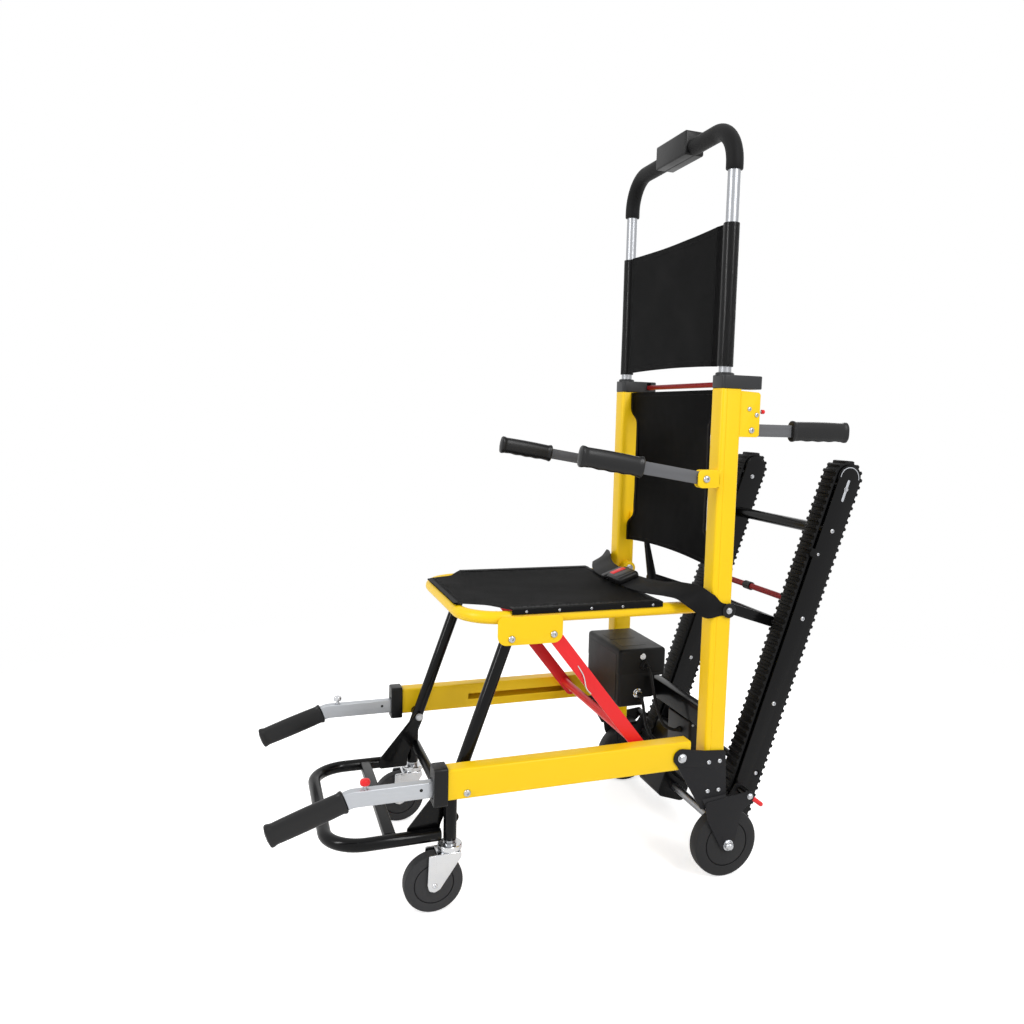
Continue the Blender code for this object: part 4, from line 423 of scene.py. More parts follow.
def smooth_line(points, steps):
    """A smooth curve through the points, with this many steps between neighbours."""
    knots = [Vector(point) for point in points]
    knots = [2 * knots[0] - knots[1]] + knots + [2 * knots[-1] - knots[-2]]
    line = [knots[1]]
    for a, b, c, d in zip(knots, knots[1:], knots[2:], knots[3:]):
        for step in range(1, steps + 1):
            t = step / steps
            cubic = (3 * b - a - 3 * c + d) * t**3
            square = (2 * a - 5 * b + 4 * c - d) * t**2
            line.append((2 * b + (c - a) * t + square + cubic) / 2)
    return line


def circle(centre, axis, radius, sides, hexagon=False):
    """A ring of points about an axis, round or six-sided."""
    axis = Vector(axis).normalized()
    side = axis.orthogonal().normalized()
    third = axis.cross(side)
    ring = []
    for index in range(sides):
        angle = 2 * math.pi * index / sides
        grow = 1.0
        if hexagon:
            grow = math.cos(math.pi / 6) / math.cos((angle + math.pi / 6) % (math.pi / 3) - math.pi / 6)
        ring.append(Vector(centre) + radius * grow * (math.cos(angle) * side + math.sin(angle) * third))
    return ring


# %% Solids from rings and outlines
LEAST_RADIUS, MERGE_DISTANCE = 0.00005, 0.000002


def loft(rings, loop=False):
    """Skins equal rings of points, and closes the ends unless the rings run in a loop."""
    bm = bmesh.new()
    rows = [[bm.verts.new(point) for point in ring] for ring in rings]
    for row, after in zip(rows, rows[1:] + (rows[:1] if loop else [])):
        for index in range(len(row)):
            ahead = (index + 1) % len(row)
            bm.faces.new((row[index], row[ahead], after[ahead], after[index]))
    if not loop:
        bm.faces.new(list(reversed(rows[0])))
        bm.faces.new(rows[-1])
    bmesh.ops.recalc_face_normals(bm, faces=bm.faces)
    return bm


def tube(points, radius, sides=24, soft=0.0):
    """A round tube along a line. With soft, its ends are rounded by that much."""
    line = [Vector(point) for point in points]
    radii = [radius] * len(line)
    if soft:
        start = (line[1] - line[0]).normalized()
        end = (line[-2] - line[-1]).normalized()
        near = [line[0], line[0] + start * soft * 0.3, line[0] + start * soft]
        far = [line[-1] + end * soft, line[-1] + end * soft * 0.3, line[-1]]
        line = near + line[1:-1] + far
        shrink = [radius - soft, radius - soft * 0.3, radius]
        radii = shrink + [radius] * (len(line) - 6) + shrink[::-1]
    ahead = [(b - a).normalized() for a, b in zip(line, line[1:])]
    headings = [ahead[0]] + [(a + b).normalized() for a, b in zip(ahead, ahead[1:])] + [ahead[-1]]
    side = headings[0].orthogonal().normalized()
    turns = [2 * math.pi * index / sides for index in range(sides)]
    rings = []
    for point, heading, size in zip(line, headings, radii):
        side = (side - side.dot(heading) * heading).normalized()
        third = heading.cross(side)
        rings.append([point + size * (math.cos(turn) * side + math.sin(turn) * third) for turn in turns])
    return loft(rings)


def turned(profile, centre, axis, sides=48, loop=False):
    """A body turned about an axis from (distance along it, radius) points. A loop has a bore."""
    axis = Vector(axis).normalized()
    rings = []
    for along, radius in profile:
        rings.append(circle(Vector(centre) + axis * along, axis, max(radius, LEAST_RADIUS), sides))
    return loft(rings, loop)


PLANES = {
    "YZ": Matrix(((0, 0, 1, 0), (1, 0, 0, 0), (0, 1, 0, 0), (0, 0, 0, 1))),
    "XZ": Matrix(((1, 0, 0, 0), (0, 0, -1, 0), (0, 1, 0, 0), (0, 0, 0, 1))),
    "XY": Matrix.Identity(4),
}


def plate(outlines, plane, across, edge=0.0008, steps=2):
    """A flat outline, and holes if more outlines follow it, as thick as the (low, high) pair across."""
    low, high = sorted(across)
    curve = bpy.data.curves.new("outline", "CURVE")
    curve.dimensions = "2D"
    curve.fill_mode = "BOTH"
    curve.extrude = (high - low) / 2 - edge
    curve.bevel_depth = edge
    curve.bevel_resolution = steps
    curve.offset = -edge
    for outline in outlines:
        spline = curve.splines.new("POLY")
        spline.points.add(len(outline) - 1)
        for knot, point in zip(spline.points, outline):
            knot.co = (point[0], point[1], 0.0, 1.0)
        spline.use_cyclic_u = True
    obj = bpy.data.objects.new("outline", curve)
    bpy.context.scene.collection.objects.link(obj)
    graph = bpy.context.evaluated_depsgraph_get()
    mesh = bpy.data.meshes.new_from_object(obj.evaluated_get(graph))
    bpy.data.objects.remove(obj, do_unlink=True)
    bm = bmesh.new()
    bm.from_mesh(mesh)
    bpy.data.meshes.remove(mesh)
    bmesh.ops.remove_doubles(bm, verts=bm.verts, dist=MERGE_DISTANCE)
    middle = (low + high) / 2
    lift = Matrix.Translation((0, 0, -middle if plane == "XZ" else middle))
    bmesh.ops.transform(bm, matrix=PLANES[plane] @ lift, verts=bm.verts)
    bmesh.ops.recalc_face_normals(bm, faces=bm.faces)
    return bm


def block(x, y, z, edge=0.001, segments=3):
    """A box over three (low, high) pairs with rounded edges."""
    pairs = [sorted(pair) for pair in (x, y, z)]
    middle = Vector([(low + high) / 2 for low, high in pairs])
    size = Vector([high - low for low, high in pairs])
    bm = bmesh.new()
    bmesh.ops.create_cube(bm, size=1.0, matrix=Matrix.Translation(middle) @ Matrix.Diagonal(size).to_4x4())
    bmesh.ops.bevel(bm, geom=bm.edges[:], offset=edge, segments=segments, profile=0.5, affect="EDGES")
    return bm


def pair(side, low, high):
    """An (x, x) pair on the left side, or its mirror image on the right."""
    return sorted((side * low, side * high))


def moved(bm, matrix):
    """The same shape, turned or shifted by a matrix."""
    bmesh.ops.transform(bm, matrix=matrix, verts=bm.verts)
    return bm


def rod(x, point, radius, edge=0.0006, sides=32):
    """A round bar along X at a (y, z) point, with softened ends."""
    low, high = sorted(x)
    profile = [(low, radius - edge), (low + edge, radius), (high - edge, radius), (high, radius - edge)]
    return turned(profile, (0, *point), (1, 0, 0), sides)


def link(first, last, half, steps=10):
    """The outline of a flat link with round ends about two (y, z) points."""
    a, b = Vector(first), Vector(last)
    heading = math.atan2(b[1] - a[1], b[0] - a[0])
    line = []
    for middle, start in ((a, heading + math.pi / 2), (b, heading - math.pi / 2)):
        for step in range(steps + 1):
            angle = start + math.pi * step / steps
            line.append(middle + half * Vector((math.cos(angle), math.sin(angle))))
    return line


def hole(point, radius, sides=24):
    """A round outline about a (y, z) point."""
    turns = [2 * math.pi * index / sides for index in range(sides)]
    return [(point[0] + radius * math.cos(turn), point[1] + radius * math.sin(turn)) for turn in turns]


def carved(bm, *cutters):
    """Cuts shapes out of a shape."""
    objects = []
    for shape in (bm, *cutters):
        mesh = bpy.data.meshes.new("carving")
        shape.to_mesh(mesh)
        shape.free()
        objects.append(bpy.data.objects.new("carving", mesh))
        bpy.context.scene.collection.objects.link(objects[-1])
    for tool in objects[1:]:
        change = objects[0].modifiers.new("cut", "BOOLEAN")
        change.solver = "EXACT"
        change.object = tool
    graph = bpy.context.evaluated_depsgraph_get()
    mesh = bpy.data.meshes.new_from_object(objects[0].evaluated_get(graph))
    for obj in objects:
        bpy.data.objects.remove(obj, do_unlink=True)
    result = bmesh.new()
    result.from_mesh(mesh)
    bpy.data.meshes.remove(mesh)
    return result


def piece(name, body, finish, shapes, replaces=(), sharp=32.0, ride=True):
    """Joins shapes into one object with one finish, and hands it to the body that carries it."""
    whole = bmesh.new()
    for bm in shapes:
        mesh = bpy.data.meshes.new("shape")
        bm.to_mesh(mesh)
        bm.free()
        whole.from_mesh(mesh)
        bpy.data.meshes.remove(mesh)
    bmesh.ops.translate(whole, vec=(0, SHIFT, 0), verts=whole.verts)
    mesh = bpy.data.meshes.new(name)
    whole.to_mesh(mesh)
    whole.free()
    mesh.shade_smooth()
    mesh.set_sharp_from_angle(angle=math.radians(sharp))
    mesh.materials.append(finish.material)
    obj = bpy.data.objects.new(name, mesh)
    bpy.context.scene.collection.objects.link(obj)
    if ride:
        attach(obj, body)
    if replaces:
        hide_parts(*replaces)
    return obj


print("mesh tools ready")

# %% [markdown]
# Screws hold the whole frame together, and they catch the light, so they are worth modelling. A pan head is
# a turned dome with a six-sided socket sunk in it. A hex bolt has a plain six-sided head, and an acorn nut
# has a round cap on top of one. Both of these stand on a washer. Each returns a shape, so that all the
# screws of one body join into one piece.


# %% Screws and nuts
PAN_HEAD = [(-0.2, 1.0, False), (0.16, 1.0, False), (0.38, 0.93, False), (0.55, 0.74, False)]
PAN_HEAD += [(0.62, 0.52, False), (0.62, 0.44, True), (0.2, 0.42, True), (0.19, 0.05, True)]
HEX_BOLT = [(-0.2, 1.35, False), (0.14, 1.35, False), (0.16, 1.3, False), (0.17, 1.1, True), (0.7, 1.1, True)]
HEX_BOLT += [(0.82, 0.95, True), (0.83, 0.05, False)]
ACORN_NUT = [(-0.2, 1.3, False), (0.16, 1.3, False), (0.18, 1.12, True), (0.72, 1.12, True)]
ACORN_NUT += [(0.8, 0.92, False), (1.05, 0.86, False), (1.3, 0.66, False), (1.46, 0.36, False)]
ACORN_NUT += [(1.5, 0.03, False)]
HEAD_SIDES = 24


def head(profile, centre, axis, radius):
    """A head from (height, radius, six-sided) steps, which are multiples of its radius."""
    axis = Vector(axis).normalized()
    rings = []
    for height, width, six_sided in profile:
        middle = Vector(centre) + axis * (height * radius)
        rings.append(circle(middle, axis, width * radius, HEAD_SIDES, six_sided))
    return loft(rings)


def pan_head(centre, axis, radius):
    """A domed head standing out along the axis, with a six-sided socket."""
    return head(PAN_HEAD, centre, axis, radius)


def hex_bolt(centre, axis, radius):
    """A six-sided head on a washer."""
    return head(HEX_BOLT, centre, axis, radius)


def acorn_nut(centre, axis, radius):
    """A six-sided nut with a round cap, on a washer."""
    return head(ACORN_NUT, centre, axis, radius)


print("screws ready")

# %% [markdown]
# Two leads run from the battery's end to the front face of the controller. They are soft rubber leads of 6
# mm that hang in a loose bow between their sockets. Each follows the same points as its solid, smoothed
# into one curve. A turned connector holds the battery end and a tapered gland the other.

# %% Battery leads
LEAD_RADIUS = 0.003
LEAD_ROUTES = {
    "battery_lead_upper": [
        (0.0283, -0.045, 0.345),
        (0.040, -0.045, 0.345),
        (0.053, -0.044, 0.334),
        (0.061, -0.042, 0.310),
        (0.068, -0.037, 0.280),
        (0.078, -0.032, 0.255),
        (0.088, -0.027, 0.241),
        (0.096, -0.014, 0.2345),
        (0.098, -0.007, 0.234),
        (0.098, 0.0017, 0.234),
    ],
    "battery_lead_lower": [
        (0.0283, -0.060, 0.290),
        (0.040, -0.060, 0.290),
        (0.051, -0.058, 0.279),
        (0.055, -0.055, 0.255),
        (0.057, -0.050, 0.230),
        (0.062, -0.040, 0.210),
        (0.070, -0.027, 0.201),
        (0.0765, -0.014, 0.1972),
        (0.078, -0.007, 0.197),
        (0.078, 0.0017, 0.197),
    ],
}
CONNECTOR_FINISH = {"battery_lead_upper": PLASTIC, "battery_lead_lower": CHROME}
CONNECTOR = [(0, 0.0095), (0.003, 0.0095), (0.0034, 0.0082), (0.008, 0.0082)]
CONNECTOR += [(0.0085, 0.006), (0.011, 0.0056)]
BOOT = [(0.0105, 0.0048), (0.016, 0.0045), (0.018, 0.0034), (0.018, 0.0031)]
GLAND = [(0, 0.0062), (0.003, 0.0062), (0.0035, 0.005), (0.009, 0.0036), (0.009, 0.0031)]

for lead_name, route in LEAD_ROUTES.items():
    line = smooth_line(route, 5)
    lead = piece(f"{lead_name}_cable", "frame", LEAD, [tube(line, LEAD_RADIUS, 16)], [lead_name])
    lead_path = [tuple(point + Vector((0, SHIFT, 0))) for point in line]
    lead_length = sum((b - a).length for a, b in zip(line, line[1:]))
    connector = turned(CONNECTOR, route[0], (1, 0, 0), 32)
    piece(f"{lead_name}_connector", "frame", CONNECTOR_FINISH[lead_name], [connector])
    glands = [turned(GLAND, route[-1], (0, -1, 0), 32), turned(BOOT, route[0], (1, 0, 0), 32)]
    piece(f"{lead_name}_glands", "frame", PLASTIC, glands)
    print(f"{lead_name}: {lead_length * 1000:.0f} mm long")

# %% [markdown]
# The two posts are drawn tubes of 38 by 40 mm, powder coated. Their corners are round, and a fine groove
# runs down the outer face beside the front corner. A plate with a hole through it gives the hollow section
# in one go. The welded ears of the arms and of the rear handles belong to the post, so they share its
# paint.

# %% Posts with their ears
POST_X, POST_Y = (0.190, 0.228), (-0.016, 0.024)
POST_Z = (0.150, 0.887)
POST_CORNER, CORNER_STEPS = 0.006, 6
ARM_PIVOT, REAR_PIVOT, SEAT_PIVOT = (-0.045, 0.731), (0.046, 0.816), (0.004, 0.504)
ARM_EARS, REAR_EARS = ((0.222, 0.225), (0.235, 0.238)), ((0.202, 0.205), (0.224, 0.227))


def oblong(x, y, corner, steps=6):
    """A rectangle with round corners over two (low, high) pairs."""
    return rounded([(x[0], y[0]), (x[1], y[0]), (x[1], y[1]), (x[0], y[1])], corner, steps)


def post_outline(sign):
    """The tube's outline, with a fine groove in its outer face."""
    line = oblong(POST_X, POST_Y, POST_CORNER, CORNER_STEPS)
    groove = [Vector((POST_X[1], -0.0064)), Vector((0.2274, -0.0058)), Vector((POST_X[1], -0.0052))]
    front_corners = 2 * (CORNER_STEPS + 1)
    line[front_corners:front_corners] = groove
    return [(sign * point.x, point.y) for point in line]


def post_ears(sign):
    """The welded ears of one arm and of one rear handle."""
    arm = rounded([(-0.018, 0.7155), (-0.0605, 0.7155), (-0.0605, 0.7465), (-0.018, 0.7465)], 0.009)
    rear = [(0.022, 0.804), (0.062, 0.804), (0.062, 0.882), (0.022, 0.884)]
    rear = rounded(rear, (0.001, 0.006, 0.006, 0.001))
    shapes = [plate([arm], "YZ", pair(sign, *ear), 0.0006) for ear in ARM_EARS]
    shapes += [plate([rear], "YZ", pair(sign, *ear), 0.0006) for ear in REAR_EARS]
    shapes.append(block(pair(sign, 0.209, 0.238), (-0.021, -0.0145), (0.7155, 0.7465), 0.0015))
    return shapes


for side, sign in SIDES.items():
    inner = oblong(pair(sign, 0.193, 0.225), (-0.013, 0.021), 0.0035)
    post = plate([post_outline(sign), inner], "XY", POST_Z, 0.0005)
    piece(f"post_{side}_tube", "frame", YELLOW, [post] + post_ears(sign), [f"post_{side}"])
    right_way = (sign, 0, 0)
    bolts = [pan_head((sign * 0.238, *ARM_PIVOT), right_way, 0.0065)]
    bolts += [acorn_nut((sign * 0.2218, *ARM_PIVOT), (-sign, 0, 0), 0.003)]
    bolts += [pan_head((sign * 0.227, *REAR_PIVOT), right_way, 0.0055)]
    bolts += [pan_head((sign * 0.227, y, z), right_way, 0.0042) for y, z in ((0.040, 0.853), (0.055, 0.843))]
    bolts += [rod(pair(sign, 0.2245, 0.2355), ARM_PIVOT, 0.004)]
    bolts += [rod(pair(sign, 0.2045, 0.2245), REAR_PIVOT, 0.004)]
    bolts += [rod(pair(sign, 0.1645, 0.191), SEAT_PIVOT, 0.005)]
    bolts += [hex_bolt((sign * 0.1655, *SEAT_PIVOT), (-sign, 0, 0), 0.006)]
    piece(f"post_{side}_bolts", "frame", ZINC, bolts)
print("two posts")

# %% [markdown]
# A moulded cap closes each post. The push handle's tube slides through it, and the red bar that frees the
# handle ends in its inner side. The bar lifts a little, so the cap has a real slot for it, carved with a
# Boolean.

# %% Caps and the release bar
CAP_Z = (0.8873, 0.9103)
RELEASE_POINT, RELEASE_RADIUS = (0.045, 0.898), 0.005
TUBE_X, TUBE_RADIUS = 0.207, 0.011

for side, sign in SIDES.items():
    outline = oblong(pair(sign, 0.188, 0.230), (-0.016, 0.064), 0.007)
    opening = [(sign * TUBE_X + x, HANDLE_Y + y) for x, y in hole((0, 0), TUBE_RADIUS + 0.0006, 36)]
    slot = block(pair(sign, 0.180, 0.2004), (0.0396, 0.0504), (0.8925, 0.9083), 0.002)
    cap = carved(plate([outline, opening], "XY", CAP_Z, 0.0018, 3), slot)
    collar = turned(
        [(0, 0.0114), (0, 0.0165), (0.0035, 0.0165), (0.005, 0.0145), (0.005, 0.0114)],
        (sign * TUBE_X, HANDLE_Y, CAP_Z[1] - 0.0005),
        (0, 0, 1),
        36,
        loop=True,
    )
    piece(f"cap_{side}_moulding", "frame", CAP_PLASTIC, [cap, collar], [f"cap_{side}"])
bar = tube([(-0.199, *RELEASE_POINT), (0.199, *RELEASE_POINT)], RELEASE_RADIUS, 24, 0.001)
piece("release_bar_rod", "release", DARK_RED, [bar], ["release_bar"])
print("caps and release bar")

# %% [markdown]
# The push handle is one bent tube. It stands in the posts and slides down into them. A foam grip covers its
# bend, with rounded ends, and the control box sits on top.

# %% Push handle and foam
HANDLE_TOP, HANDLE_BEND = 1.333, 0.065
PIPE_FOOT, FOAM_FOOT, FOAM_RADIUS = 0.780, 1.256, 0.015


def handle_line(foot, steps=14):
    """The bent tube's middle line, from a foot height up and over to the other side."""
    corners = [(TUBE_X, foot), (TUBE_X, HANDLE_TOP), (-TUBE_X, HANDLE_TOP), (-TUBE_X, foot)]
    return rounded([(x, HANDLE_Y, z) for x, z in corners], HANDLE_BEND, steps, closed=False)


pipe = tube(handle_line(PIPE_FOOT), TUBE_RADIUS, 32)
piece("push_handle_pipe", "push_handle", TUBE_METAL, [pipe], ["push_handle_tube"])
foam = tube(handle_line(FOAM_FOOT), FOAM_RADIUS, 32, 0.0025)
piece("handle_foam_grip", "push_handle", FOAM, [foam], ["handle_foam"])
print("push handle")

# %% [markdown]
# The control box is one moulded block on the foam, which runs through a bore in it. A thin panel lies on
# its top, and beside that a rocker switch stands in a well with a frame round it. The rocker tilts, so it
# is a piece of its own, with a saddle-shaped top.

# %% Control box and rocker
CONTROL_TOP, CONTROL_FOOT, CONTROL_HALF = 1.362, 1.318, 0.061
CONTROL_Y = (HANDLE_Y - 0.020, HANDLE_Y + 0.020)
ROCKER_PIVOT_Z, ROCKER_HALF, ROCKER_REACH = 1.360, 0.010, 0.008

WELL_Y = (HANDLE_Y - 0.009, HANDLE_Y + 0.009)
housing = carved(
    block((-CONTROL_HALF, CONTROL_HALF), CONTROL_Y, (CONTROL_FOOT, CONTROL_TOP), 0.0035, 4),
    block((-ROCKER_HALF - 0.0006, ROCKER_HALF + 0.0006), WELL_Y, (1.352, 1.37), 0.0006),
    rod((-0.1, 0.1), (HANDLE_Y, HANDLE_TOP), FOAM_RADIUS + 0.0001, 0.0005, 36),
)
panel_y, panel_z = (CONTROL_Y[0] + 0.006, CONTROL_Y[1] - 0.006), (CONTROL_TOP - 0.002, CONTROL_TOP + 0.0006)
panel = block((-0.050, -0.018), panel_y, panel_z, 0.0005)
rim = oblong((-0.0135, 0.0135), (HANDLE_Y - 0.0118, HANDLE_Y + 0.0118), 0.002)
window = oblong((-0.0106, 0.0106), WELL_Y, 0.0005)
frame_ring = plate([rim, window], "XY", (CONTROL_TOP - 0.001, CONTROL_TOP + 0.001), 0.0004)
piece("control_box_housing", "push_handle", PLASTIC, [housing, panel, frame_ring], ["control_box"])


def saddle(part_way):
    """Height of the rocker's top above its pivot, low in the middle."""
    return 0.0026 + 0.0018 * (2 * part_way - 1) ** 2


ROCKER_STEPS, ROCKER_FOOT = 12, 1.3585
half = ROCKER_HALF - 0.0002
rows = []
for step in range(ROCKER_STEPS + 1):
    part_way = step / ROCKER_STEPS
    y = HANDLE_Y + ROCKER_REACH * (2 * part_way - 1)
    top = ROCKER_PIVOT_Z + saddle(part_way)
    soft = 0.0012 if step in (0, ROCKER_STEPS) else 0.0006
    edge = [(half, ROCKER_FOOT), (half, top - soft), (half - soft, top)]
    rows.append([(-x, y, z) for x, z in edge] + [(x, y, z) for x, z in reversed(edge)])
piece("rocker_switch_cap", "rocker", RED, [loft(rows)], ["rocker_switch"])
print("control box and rocker")

# %% [markdown]
# Three cross members tie the posts together. They are painted box sections with rounded edges. The middle
# one carries two lugs for the strut that holds the tracks, and each has screws near its ends.

# %% Cross members
REACH = 0.1897
STRUT_PIVOT = (0.040, 0.489)


def lug(sign):
    """A lug that hangs from the middle bar, with the strut's pin."""
    outline = [(0.0150, 0.625), (0.0150, 0.598), (0.032, 0.480), (0.049, 0.480)]
    outline += [(0.049, 0.498), (0.0225, 0.598), (0.0225, 0.625)]
    outline = rounded(outline, (0.001, 0.001, 0.004, 0.008, 0.008, 0.003, 0.001), 5)
    shape = plate([outline], "YZ", pair(sign, 0.1257, 0.1307), 0.0007)
    return [shape, rod(pair(sign, 0.1287, 0.135), STRUT_PIVOT, 0.005)]


beam = block((-REACH, REACH), (0.0105, 0.024), (0.842, 0.883), 0.0025)
piece("upper_cross_beam_tube", "frame", YELLOW, [beam], ["upper_cross_beam"])
bar = block((-REACH, REACH), (0.0105, 0.024), (0.598, 0.627), 0.0025)
piece("middle_cross_bar_tube", "frame", YELLOW, [bar], ["middle_cross_bar"])
piece("middle_cross_bar_lugs", "frame", BLACK, lug(1) + lug(-1))
bar = block((-REACH, REACH), (0.002, 0.024), (0.262, 0.300), 0.003)
piece("battery_cross_bar_tube", "frame", BLACK, [bar], ["battery_cross_bar"])
screws = []
for sign in SIDES.values():
    screws += [pan_head((sign * 0.170, 0.024, z), (0, 1, 0), 0.004) for z in (0.8515, 0.8735, 0.6125, 0.281)]
    screws.append(acorn_nut((sign * 0.1361, *STRUT_PIVOT), (sign, 0, 0), 0.0042))
piece("cross_member_screws", "frame", ZINC, screws)
print("three cross members")

# %% [markdown]
# The battery is a moulded case that hangs in front of its cross bar. Its lid stands out over the tray,
# which is cut away at one rear corner. Thin panels lie on its top and front, and a bright lock sits in the
# end. The controller is a box with cooling ribs, behind and below it.

# %% Battery and controller
BATTERY_X, BATTERY_Y = (-0.140, 0.028), (-0.100, 0.0017)
lid = block(BATTERY_X, BATTERY_Y, (0.324, 0.378), 0.007, 6)
tray = carved(
    block(BATTERY_X, (BATTERY_Y[0] + 0.0006, BATTERY_Y[1]), (0.262, 0.334), 0.007, 6),
    block((-0.020, 0.06), (-0.0445, 0.06), (0.25, 0.3225), 0.001),
)
panels = [block((x, x + 0.045), (-0.084, -0.030), (0.370, 0.3784), 0.0004, 1) for x in (-0.100, -0.046)]
side_panel = block((-0.124, 0.012), (BATTERY_Y[0] - 0.0004, -0.09), (0.274, 0.366), 0.0004, 1)
piece("battery_case_moulding", "frame", CASE, [lid, tray, side_panel] + panels, ["battery_case"])
LOCK_POINT = (0.028, -0.050, 0.363)
lock = [(0, 0.0062), (0.0016, 0.0062), (0.0022, 0.0056), (0.0022, 0.0042), (0.0010, 0.004), (0.0010, 0.0001)]
key = block((0.0282, 0.0300), (LOCK_POINT[1] - 0.0007, LOCK_POINT[1] + 0.0007), (0.3595, 0.3665), 0.0003)
piece("battery_lock", "frame", CHROME, [turned(lock, LOCK_POINT, (1, 0, 0), 32), key])

CONTROLLER_X, CONTROLLER_Y, CONTROLLER_Z = (0.045, 0.133), (0.002, 0.074), (0.175, 0.2617)
RIBS = 8
shapes = [block(CONTROLLER_X, CONTROLLER_Y, CONTROLLER_Z, 0.004, 4)]
for step in range(RIBS):
    x = 0.053 + 0.0103 * step
    shapes.append(block((x - 0.0014, x + 0.0014), (0.070, 0.0752), (0.182, 0.255), 0.0006))
piece("controller_box_case", "frame", PLASTIC, shapes, ["controller_box"])
places = [(CONTROLLER_X[1], y, z) for y in (0.010, 0.066) for z in (0.184, 0.253)]
screws = [pan_head(point, (1, 0, 0), 0.0025) for point in places]
piece("controller_screws", "frame", ZINC, screws)
print("battery and controller")

# %% [markdown]
# Cloth is stretched between the posts, over the seat tubes and round the handle's tubes. Each sheet is a
# grid of rows that follow its cut edge, moved by a gentle bow and a little noise for creases, and thickened
# at the end. The hems are sewn bands along the edges, with a row of thread stitches beside them.


# %% Cloth tools
def step_between(value, start, end):
    """A smooth step from 0 at start to 1 at end, on plain numbers."""
    part_way = min(1.0, max(0.0, (value - start) / (end - start)))
    return part_way * part_way * (3 - 2 * part_way)


def shell(rows, thickness):
    """A closed sheet of this thickness under a grid of points."""
    bm = bmesh.new()
    grid = [[bm.verts.new(point) for point in row] for row in rows]
    for row, after in zip(grid, grid[1:]):
        for index in range(len(row) - 1):
            bm.faces.new((row[index], row[index + 1], after[index + 1], after[index]))
    bmesh.ops.solidify(bm, geom=bm.faces[:], thickness=thickness)
    bmesh.ops.recalc_face_normals(bm, faces=bm.faces)
    return bm


def crease(point, scale, amount):
    """A small repeatable unevenness of cloth at a point."""
    return amount * noise.noise(Vector(point) * scale)


def stitches(line, offset, length=0.0036, gap=0.0022, radius=0.00042):
    """Short thread stitches beside a line."""
    line = [Vector(point) + Vector(offset) for point in line]
    shapes = []
    run = 0.0
    for a, b in zip(line, line[1:]):
        span = (b - a).length
        while run < span:
            end = min(run + length, span)
            if end - run > length * 0.5:
                shapes.append(tube([a.lerp(b, run / span), a.lerp(b, end / span)], radius, 6))
            run += length + gap
        run -= span
    return shapes


def hem(line, across, up, width, height):
    """A flat band on a line, with soft long edges. Across and up give its width and thickness directions."""
    side, lift = Vector(across) * (width / 2), Vector(up) * height
    corners = [(-1, 0), (1, 0), (1, 0.6), (0.94, 1), (-0.94, 1), (-1, 0.6)]
    return loft([[Vector(point) + side * s + lift * h for s, h in corners] for point in line])


def even_places(half, steps):
    """Evenly spaced places from -half to half."""
    return [half * (2 * step / steps - 1) for step in range(steps + 1)]


def fine(line, spacing):
    """The same line with points no further apart than spacing."""
    points = []
    for a, b in zip(line, line[1:]):
        a, b = Vector(a), Vector(b)
        count = max(1, math.ceil((b - a).length / spacing))
        points += [a.lerp(b, step / count) for step in range(count)]
    return points + [Vector(line[-1])]


print("cloth tools ready")

# %% [markdown]
# The upper sleeve hangs between the handle's tubes and wraps round them in sewn loops. When the handle
# slides down into the posts, the cloth gathers at its lower edge.

# %% Upper back sleeve
SLEEVE_Z = (0.925, 1.168)
LOOP_RADIUS = 0.0142
SLEEVE_WALL, SOFT_EDGE = 0.0016, 50
SLEEVE_ROWS, LOOP_STEPS, SPAN_STEPS = 46, 22, 44
LOOP_SWEEP, LOOP_END = math.radians(338), math.radians(-128)
SPAN_HALF = TUBE_X + LOOP_RADIUS * math.cos(LOOP_END)


def sleeve_row(z):
    """Points round one loop, across the front, and round the other loop."""
    middle = (SLEEVE_Z[0] + SLEEVE_Z[1]) / 2
    reach = abs(z - middle) / (SLEEVE_Z[1] - middle)
    loop = []
    for step in range(LOOP_STEPS):
        angle = LOOP_END + LOOP_SWEEP * (LOOP_STEPS - step) / LOOP_STEPS
        tuck = 0.0020 * (1 - step_between(step, 0, 4))
        radius = LOOP_RADIUS - 0.0004 - tuck + crease((step, 0, z * 9), 0.7, 0.0004)
        loop.append((TUBE_X + radius * math.cos(angle), HANDLE_Y + radius * math.sin(angle), z))
    span = []
    for step in range(SPAN_STEPS + 1):
        x = SPAN_HALF * math.sin(math.pi * (step / SPAN_STEPS - 0.5))
        inside = SPAN_HALF - abs(x)
        hang = 1 - (x / SPAN_HALF) ** 2
        fold = 0.0042 * step_between(inside, 0.0, 0.006) * (1 - 0.6 * step_between(inside, 0.008, 0.026))
        y = HANDLE_Y + LOOP_RADIUS * math.sin(LOOP_END) + fold + hang * (0.0045 - 0.003 * reach)
        y += hang * (crease((x, 0, z), 13, 0.0016) + crease((x * 0.6 + z, 1, z * 0.4), 40, 0.0006))
        span.append((x, y, z - 0.004 * hang * (z - middle) / 0.12))
    return [(-x, y, z) for x, y, z in loop] + span + loop[::-1]


